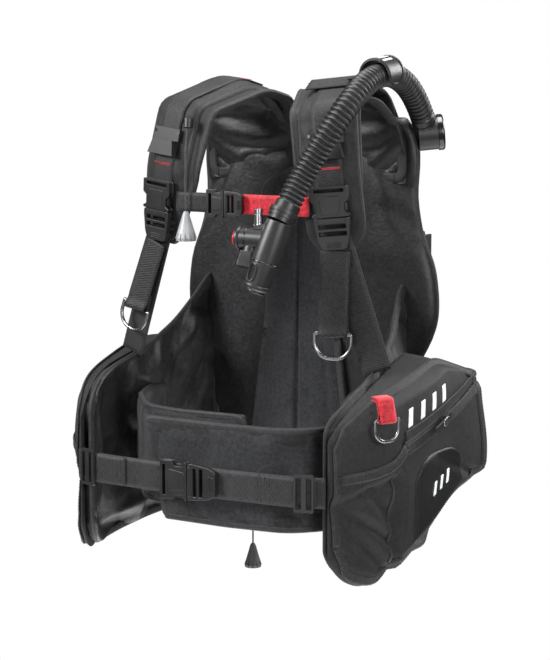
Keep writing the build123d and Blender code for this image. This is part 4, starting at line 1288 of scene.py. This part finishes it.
def side_release(tag, frame, web, female_node, male_node, male_body, side=LEFT):
    """Both halves of a side-release buckle for webbing of one width; k scales it from the wide one."""
    k = web / WIDE_WEB
    outer, length, thick, mouth = web + 11, 1.02 * web, 0.12 * web + 4.6, 0.62 * web
    half, skin, edge = outer / 2, 2.1, 0.55
    notch = 6.2 * k
    shell = [(-half + 1, 0), (half - 1, 0), (half, 3 * k), (half - notch, 6 * k), (half - notch, 17 * k),
             (half, 21 * k), (half, length), (-half, length), (-half, 21 * k), (-half + notch, 17 * k),
             (-half + notch, 6 * k), (-half, 3 * k)]
    shell = closed_loop(shell, 2.2 * k)
    bar_y = length - 5.5
    slot = four_sided(web / 2 + 0.4, bar_y - 2.1, web / 2 + 0.4, bar_y + 2.1, 1.0)
    block = four_sided(half - 0.8, mouth, half - 0.8, length - 0.8, 2 * k)
    crown = four_sided(11 * k, 3 * k, 14 * k, 26 * k, 3 * k)
    plates = [moulded_plate([shell, slot], 0, skin, edge),
              moulded_plate([shell, slot], thick - skin, thick, edge),
              moulded_plate([block, slot], skin - 0.4, thick - skin + 0.4, 0.3),
              moulded_plate([crown], thick - 0.6, thick + 0.9, 0.5)]
    for way in (-1, 1):
        post = [(way * (half - 3.4 * k), 0.6), (way * (half - 1.2), 0.6), (way * (half - 1.2), 3.4 * k),
                (way * (half - 3.4 * k), 3.4 * k)]
        plates.append(moulded_plate([closed_loop(post[::way], 0.5)], skin - 0.4, thick - skin + 0.4, 0.2))
    buckle_half(f"{tag}_female_moulding", female_node, plates, frame, side, "vest")

    tail = 1.08 * web
    top, middle = -0.6, thick / 2
    waist = [(-half + 1.6, top), (half - 1.6, top), (half - 1.6, -9 * k), (half - 4.4 * k, -30 * k),
             (half - 9 * k, -tail), (-half + 9 * k, -tail), (-half + 4.4 * k, -30 * k), (-half + 1.6, -9 * k)]
    waist = closed_loop(waist[::-1], 5 * k)
    holes = []
    for share in (0.28, 0.50):
        y, tall, wide = -share * tail, 0.065 * tail, web / 2 - 1.2
        holes.append(four_sided(wide, y - tall, wide, y + tall, 1.0))
    plates = [moulded_plate([waist] + holes, 0.5, thick - 0.5, edge * 1.6)]
    lip = four_sided(half - 5 * k, top - 0.6, half - 7 * k, -7 * k, 1.6 * k)
    plates.append(moulded_plate([lip], thick - 0.9, thick + 0.5, 0.5))
    for y in (-32.5, -35.2, -37.9):
        rib = four_sided(9 * k, (y - 0.7) * k, 9 * k, (y + 0.7) * k, 0.5)
        plates.append(moulded_plate([rib], thick - 0.9, thick + 0.3, 0.3))
    deep = thick / 2 - skin - 0.5
    tongue = four_sided(3.4 * k, top - 1, 3.0 * k, mouth - 2, k)
    plates.append(moulded_plate([tongue], middle - deep, middle + deep, 0.4))
    reach = half - 3.1
    for way in (-1, 1):
        prong = [(way * 13 * k, top - 1), (way * 17 * k, top - 1), (way * 17.4 * k, 5 * k),
                 (way * reach, 8 * k), (way * reach, 15 * k), (way * 17 * k, mouth - 1.4),
                 (way * 13 * k, mouth - 1.4)]
        plates.append(moulded_plate([closed_loop(prong[::way], 1.2 * k)], middle - deep, middle + deep, 0.4))
    buckle_half(f"{tag}_male_moulding", male_node, plates, frame, side, male_body)


SHOULDER_FRAME = (BUCKLE, BUCKLE_ACROSS, BUCKLE_UP, BUCKLE_OUT)
for side, tag in SIDES:
    side_release(f"shoulder_buckle_{tag}", SHOULDER_FRAME, WIDE_WEB, f"shoulder_buckle_female_{tag}",
                 f"shoulder_buckle_male_{tag}", f"shoulder_male_{tag}", side)
waist_y = (ORIGIN + Vector(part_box("waist_buckle_female")[1]) / MM).y
for tag, origin, web in (("waist", Vector((0, waist_y, BELT_Z)), WIDE_WEB),
                         ("sternum", Vector((-20, -49, STERNUM_Z)), NARROW_WEB)):
    frame_of = (origin, Vector((0, 0, 1)), Vector((-1, 0, 0)), Vector((0, -1, 0)))
    side_release(f"{tag}_buckle", frame_of, web, f"{tag}_buckle_female", f"{tag}_buckle_male", f"{tag}_male")

# ---------------------------------------------------------------- tank band, cam buckle and handle

BAND_R, BAND_T, BAND_W = 93.2, 2.3, 50.0


def round_band(angle, radius, z=0.0):
    """Point round the tank's axis; angle 0 is at the cam buckle and 90 degrees is behind."""
    a = math.radians(angle)
    return ORIGIN + Vector((radius * math.cos(a), radius * math.sin(a), z))


def around(start, end, radius, count):
    """Path and outward normals round the tank."""
    angles = [start + (end - start) * i / count for i in range(count + 1)]
    return [round_band(a, radius) for a in angles], [round_band(a, 1.0) - ORIGIN for a in angles]


path, normals = around(0, 360, BAND_R, 120)
tape("tank_band_webbing", path, normals, BAND_W, BAND_T, node="tank_band")
path, normals = around(26, 88, BAND_R + BAND_T + 0.3, 26)
tape("tank_band_tail", path, normals, BAND_W - 1, BAND_T)
lines = [[round_band(angle, BAND_R + 3.8, z) for z in range(-21, 22, 3)] for angle in (80, 83, 86)]
stitched("tank_band_stitches", lines, BACK, slot="webbing")

# Grip ribs on the cam lever's outer face
ribs = [tape_mesh([Vector((110.8, 240 + 4.2 * k, z)) for z in (356, 378, 400)], (1, 0, 0), 2.2, 2.0)
        for k in range(7)]
merged("cam_lever_ribs", ribs, PLASTIC, "cam_lever", "plastic_black")

# Rubber grip on the carry handle, with ribs round it
GRIP_RIBS, GRIP_SIDES, GRIP_HALF = 14, 20, 30
RIB_STEPS = 6
verts, uvs = [], []
grip_rings = GRIP_RIBS * RIB_STEPS + 1
for i in range(grip_rings):
    p = Vector((GRIP_HALF * (2 * i / (grip_rings - 1) - 1), 157, 548))
    size = 17.6 + 1.5 * abs(math.sin(math.pi * i / RIB_STEPS))
    for k in range(GRIP_SIDES):
        a = 2 * math.pi * k / GRIP_SIDES
        c, d = math.cos(a), math.sin(a)
        square = (abs(c) ** 4 + abs(d) ** 4) ** -0.25
        verts.append(p + Vector((0, c * square * size * 0.40, d * square * size * 0.52)))
        uvs.append((p.x * MM, size * a / 2 * MM))
new_piece("handle_grip", verts, tube_faces(grip_rings, GRIP_SIDES), RUBBER, "vest", "plastic_black", uvs)

# ---------------------------------------------------------------- pocket ring's tab and the zips' badges

TAB_ORIGIN = Vector((235.16, -95.325, 218))
TAB_NORMAL = Vector((0.88, -0.475, 0)).normalized()
loop_r = RING_WIRE / 2 + 1.5
tab_top = TAB_ORIGIN + Vector((-4, 2, 24))
tucked = tab_top - TAB_NORMAL * 13    # both leaves are sewn into the pocket's cloth, behind its face
path = [tucked + Vector((0, 0, 3)), tab_top + Vector((0, 0, 2)) - TAB_NORMAL * 1.5,
        tab_top + TAB_NORMAL * 1.4, TAB_ORIGIN + Vector((-1, 0.5, 8)) + TAB_NORMAL * 2.6]
path += [TAB_ORIGIN + TAB_NORMAL * (loop_r * math.cos(a)) - Vector((0, 0, loop_r * math.sin(a)))
         for a in [math.pi * k / 12 for k in range(13)]]
path += [TAB_ORIGIN + Vector((-1, 0.5, 8)) - TAB_NORMAL * 0.8, tab_top - Vector((0, 0, 2)) - TAB_NORMAL * 2.0,
         tucked - Vector((0, 0, 1))]
path = even_path(path, 1.6)
tab_across = TAB_NORMAL.cross(Vector((0, 0, 1)))
normals = [heading(path, i).cross(tab_across).normalized() for i in range(len(path))]
tape("pocket_ring_tab_cloth", path, normals, 23, 1.7, WEBBING_RED, slot="webbing_red", node="pocket_ring_tab")
lines = [[TAB_ORIGIN + Vector((-2, 1, up)) + TAB_NORMAL * 2.9 + tab_across * a for a in range(-8, 9, 2)]
         for up in (12, 20)]
stitched("pocket_ring_tab_stitches", lines, TAB_NORMAL, THREAD_RED, "webbing_red", pitch=2.6, long=2.0)

ZIP_RUN = Vector((0, 0.963, 0.27))
BADGE_SIDES = 28
BADGE_HALF = (9.5, 5.6)
for side, tag in SIDES:
    low, high = (ORIGIN + Vector(c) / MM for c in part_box(f"zip_slider_{tag}"))
    face_x = max(abs(low.x), abs(high.x))
    middle = Vector((face_x + 0.2, *ZIP_MIDDLE)) - ZIP_RUN * 12
    rim_up = ZIP_RUN.cross(Vector((1, 0, 0)))
    oval = []
    for lift, shrink in ((-0.8, 1.0), (0.5, 1.0), (1.1, 0.86), (0.8, 0.74)):
        for k in range(BADGE_SIDES):
            a = 2 * math.pi * k / BADGE_SIDES
            oval.append(middle + Vector((lift, 0, 0)) + ZIP_RUN * (BADGE_HALF[0] * shrink * math.cos(a))
                        + rim_up * (BADGE_HALF[1] * shrink * math.sin(a)))
    faces = turned_over(tube_faces(4, BADGE_SIDES), side == RIGHT)
    new_piece(f"zip_badge_{tag}", [mirrored(p, side) for p in oval], faces, STEEL, f"zip_{tag}", "steel")

# ---------------------------------------------------------------- inflator trim

BODY_TOP, BODY_END = Vector((94.1, -111.5, 454.0)), Vector((72, -129, 372))
BODY_DOWN = (BODY_END - BODY_TOP).normalized()
BRANCH_ROOT = Vector((87.99, -115.65, 430.42))
BRANCH_AXIS = Vector((-0.998, -0.0599, 0.01996)).normalized()


def turned(name, root, axis, profile, material, slot, body="inflator", sides=40):
    """Ring round an axis: the profile is its closed section, a list of (distance along, radius)."""
    hint = Vector((0, 0, 1)) if abs(axis.z) < 0.9 else Vector((0, 1, 0))
    x = axis.cross(hint).normalized()
    y = axis.cross(x)
    verts = []
    for along, radius in profile:
        for k in range(sides):
            a = 2 * math.pi * k / sides
            verts.append(root + axis * along + x * (radius * math.cos(a)) + y * (radius * math.sin(a)))
    return new_piece(name, verts, tube_faces(len(profile), sides, closed=True), material, body, slot)


def ring_profile(inner, outer, start, length, soft=0.6):
    return ((start, inner), (start, outer - soft), (start + soft, outer), (start + length - soft, outer),
            (start + length, outer - soft), (start + length, inner))


for name, section, material, slot in (
        ("inflator_end_ring", ring_profile(12.2, 17.3, -5, 5.4), PLASTIC, "plastic_black"),
        ("inflator_end_trim", ring_profile(12.2, 14.2, 0.4, 1.6), STEEL, "steel"),
        ("inflator_waist_ring", ring_profile(14.0, 18.2, -34, 2.4), PLASTIC_GLOSS, "plastic_gloss")):
    turned(name, BODY_END, BODY_DOWN, section, material, slot)
for name, section, material, slot in (
        ("branch_ring", ring_profile(10.7, 15.2, 42, 5.6), PLASTIC, "plastic_black"),
        ("branch_groove_ring", ring_profile(13.0, 14.7, 33, 1.8), PLASTIC_GLOSS, "plastic_gloss")):
    turned(name, BRANCH_ROOT, BRANCH_AXIS, section, material, slot)

# Glossy window low on the body's front, in a raised frame
WINDOW_OUT = (Vector((-0.35, -1, 0)) - BODY_DOWN * Vector((-0.35, -1, 0)).dot(BODY_DOWN)).normalized()
WINDOW_SIDE = BODY_DOWN.cross(WINDOW_OUT)


def on_body(along, angle, lift):
    """Point on the inflator's body, measured back from its end."""
    reach = (BODY_END - BODY_TOP).length
    share = 1 - along / reach
    radius = lookup(((0, 16.5), (0.45, 18.0), (1, 15.5)), share) + lift
    out = WINDOW_OUT * math.cos(angle) + WINDOW_SIDE * math.sin(angle)
    return BODY_END - BODY_DOWN * along + out * radius


def window(u, v, lift):
    a, b = 2 * u - 1, 2 * v - 1
    return on_body(18 + 11 * b * math.sqrt(1 - 0.3 * a * a), 0.36 * a * math.sqrt(1 - 0.3 * b * b), lift)


verts, faces, uvs, _, _ = grid_shell(lambda u, v: window(u, v, 0.6), lambda u, v: window(u, v, -1.0), 14, 16,
                                     (12, 22))
new_piece("inflator_window", verts, turned_over(faces), PLASTIC_GLOSS, "inflator", "plastic_gloss", uvs)
frame_path, _ = rim_track(lambda u, v: window(u, v, 0.9), 0.0, 0.0, 0.2, 6)
outs = [(p - (BODY_END - BODY_DOWN * (BODY_END - p).dot(BODY_DOWN))).normalized() for p in frame_path]
tape("inflator_window_frame", frame_path + frame_path[:1], outs + outs[:1], 1.8, 1.6, PLASTIC, "inflator",
     "plastic_black")

# ---------------------------------------------------------------- plain printed bars


def bars(name, spots, body="vest"):
    """Short white bars: each spot is (centre, along, across, normal) with half sizes in its vectors."""
    parts = []
    for centre, along, across, normal in spots:
        parts.append(tape_mesh([centre - along, centre, centre + along], normal, across.length * 2, 0.5,
                               lift=0.2, columns=2))
    merged(name, parts, PRINT, body, "knob_light")


for side, tag in SIDES:
    spots = []
    for k in range(3):
        distance = 52 + 9 * k
        across = mirrored(ACROSS, side)
        spots.append((on_strap(side, distance, -6 + 3 * k, 1.2), across * 13, across.cross(FORWARD) * 2.2,
                      mirrored(strap_frame(distance)[1], side)))
    bars(f"strap_print_{tag}", spots)

FLAP_R, FLAP_W = 20.6, 39.0
FLAP_CENTRE = (Vector(HOSE_ROUTE[2]) + Vector(HOSE_ROUTE[3])) / 2
FLAP_ALONG = (Vector(HOSE_ROUTE[3]) - Vector(HOSE_ROUTE[2])).normalized()
FLAP_SIDE = Vector((1, 0, 0)) - FLAP_ALONG * FLAP_ALONG.x
FLAP_SIDE.normalize()
FLAP_UP = FLAP_SIDE.cross(FLAP_ALONG)
if FLAP_UP.z < 0:
    FLAP_UP = -FLAP_UP
FLAP_START, FLAP_END, FLAP_TIP = 184, -34, 46


def flap_spot(angle, along, lift):
    """Point over the hose: angle 0 is on the outer side, 180 degrees at the hinge."""
    a = math.radians(angle)
    out = FLAP_SIDE * math.cos(a) + FLAP_UP * math.sin(a)
    return FLAP_CENTRE + out * (FLAP_R + lift) + FLAP_ALONG * along, out


def flap_width(angle):
    """Full width, with a round tip on the outer side."""
    into = (angle - FLAP_END) / FLAP_TIP
    return FLAP_W * (1.0 if into > 1 else math.sqrt(max(0.02, 1 - (1 - into) ** 2)))


FLAP_ANGLES = [FLAP_START + (FLAP_END - FLAP_START) * i / 60 for i in range(61)]
spots = [flap_spot(a, 0, 0) for a in FLAP_ANGLES]
tape("hose_flap_cover", [p for p, _ in spots], [n for _, n in spots], FLAP_W, 2.8, RUBBER, "hose_flap",
     "rubber_hose", "hose_flap", widths=[flap_width(a) for a in FLAP_ANGLES], columns=10)
edges = [flap_spot(a, flap_width(a) / 2 - 2.6, 1.7) for a in FLAP_ANGLES if a > FLAP_END + 2]
edges += [flap_spot(a, 2.6 - flap_width(a) / 2, 1.7) for a in reversed(FLAP_ANGLES) if a > FLAP_END + 2]
tape("hose_flap_border", [p for p, _ in edges], [n for _, n in edges], 3.2, 1.8, RUBBER, "hose_flap",
     "rubber_hose")
spots = []
for k in range(3):
    centre, out = flap_spot(62 + 20 * k, 3 - 3 * k, 1.7)
    spots.append((centre, FLAP_ALONG * 11, FLAP_ALONG.cross(out) * 1.8, out))
bars("flap_print", spots, "hose_flap")

# The flap's root, sewn across the strap
ROOT_AT = 137.0
root = [on_strap(LEFT, ROOT_AT, a, 5.2) for a in (-36, -20, 0, 20, 36)]
hinge, _ = flap_spot(FLAP_START, 0, 0.5)
root.append(hinge + Vector((-7.5, 0, -2.0)))
path = spline_path(root, 4.0)
tape("hose_flap_root", path, strap_frame(ROOT_AT)[1], 38, 2.6, CORDURA, slot="cordura")
lines = [[p + FORWARD * shift + Vector((0, 0, 1.6)) for p in path[1:-4]] for shift in (-15, 15)]
stitched("hose_flap_root_stitches", lines, strap_frame(ROOT_AT)[1], slot="cordura")

# ---------------------------------------------------------------- floor and finish

FLOOR_Z, FLOOR_R, FLOOR_SIDES = -650.0, 1100.0, 64
floor_mesh = bpy.data.meshes.new("floor")
turns = [2 * math.pi * k / FLOOR_SIDES for k in range(FLOOR_SIDES)]
floor_mesh.from_pydata([at((FLOOR_R * math.cos(a), FLOOR_R * math.sin(a), FLOOR_Z)) for a in turns], [],
                       [list(range(FLOOR_SIDES))])
floor = bpy.data.objects.new("floor", floor_mesh)
bpy.context.collection.objects.link(floor)
n = Nodes("floor_paint")
n.finish(n.ramp(n.noise(n.place, 3.0), shades((0.88, 0.88, 0.88), 0.98, 1.02)),
         n.scale_between(n.noise(n.place, 8.0), 0.7, 0.8),
         Emission_Color=(1, 1, 1, 1), Emission_Strength=0.85)
floor_mesh.materials.append(n.material)
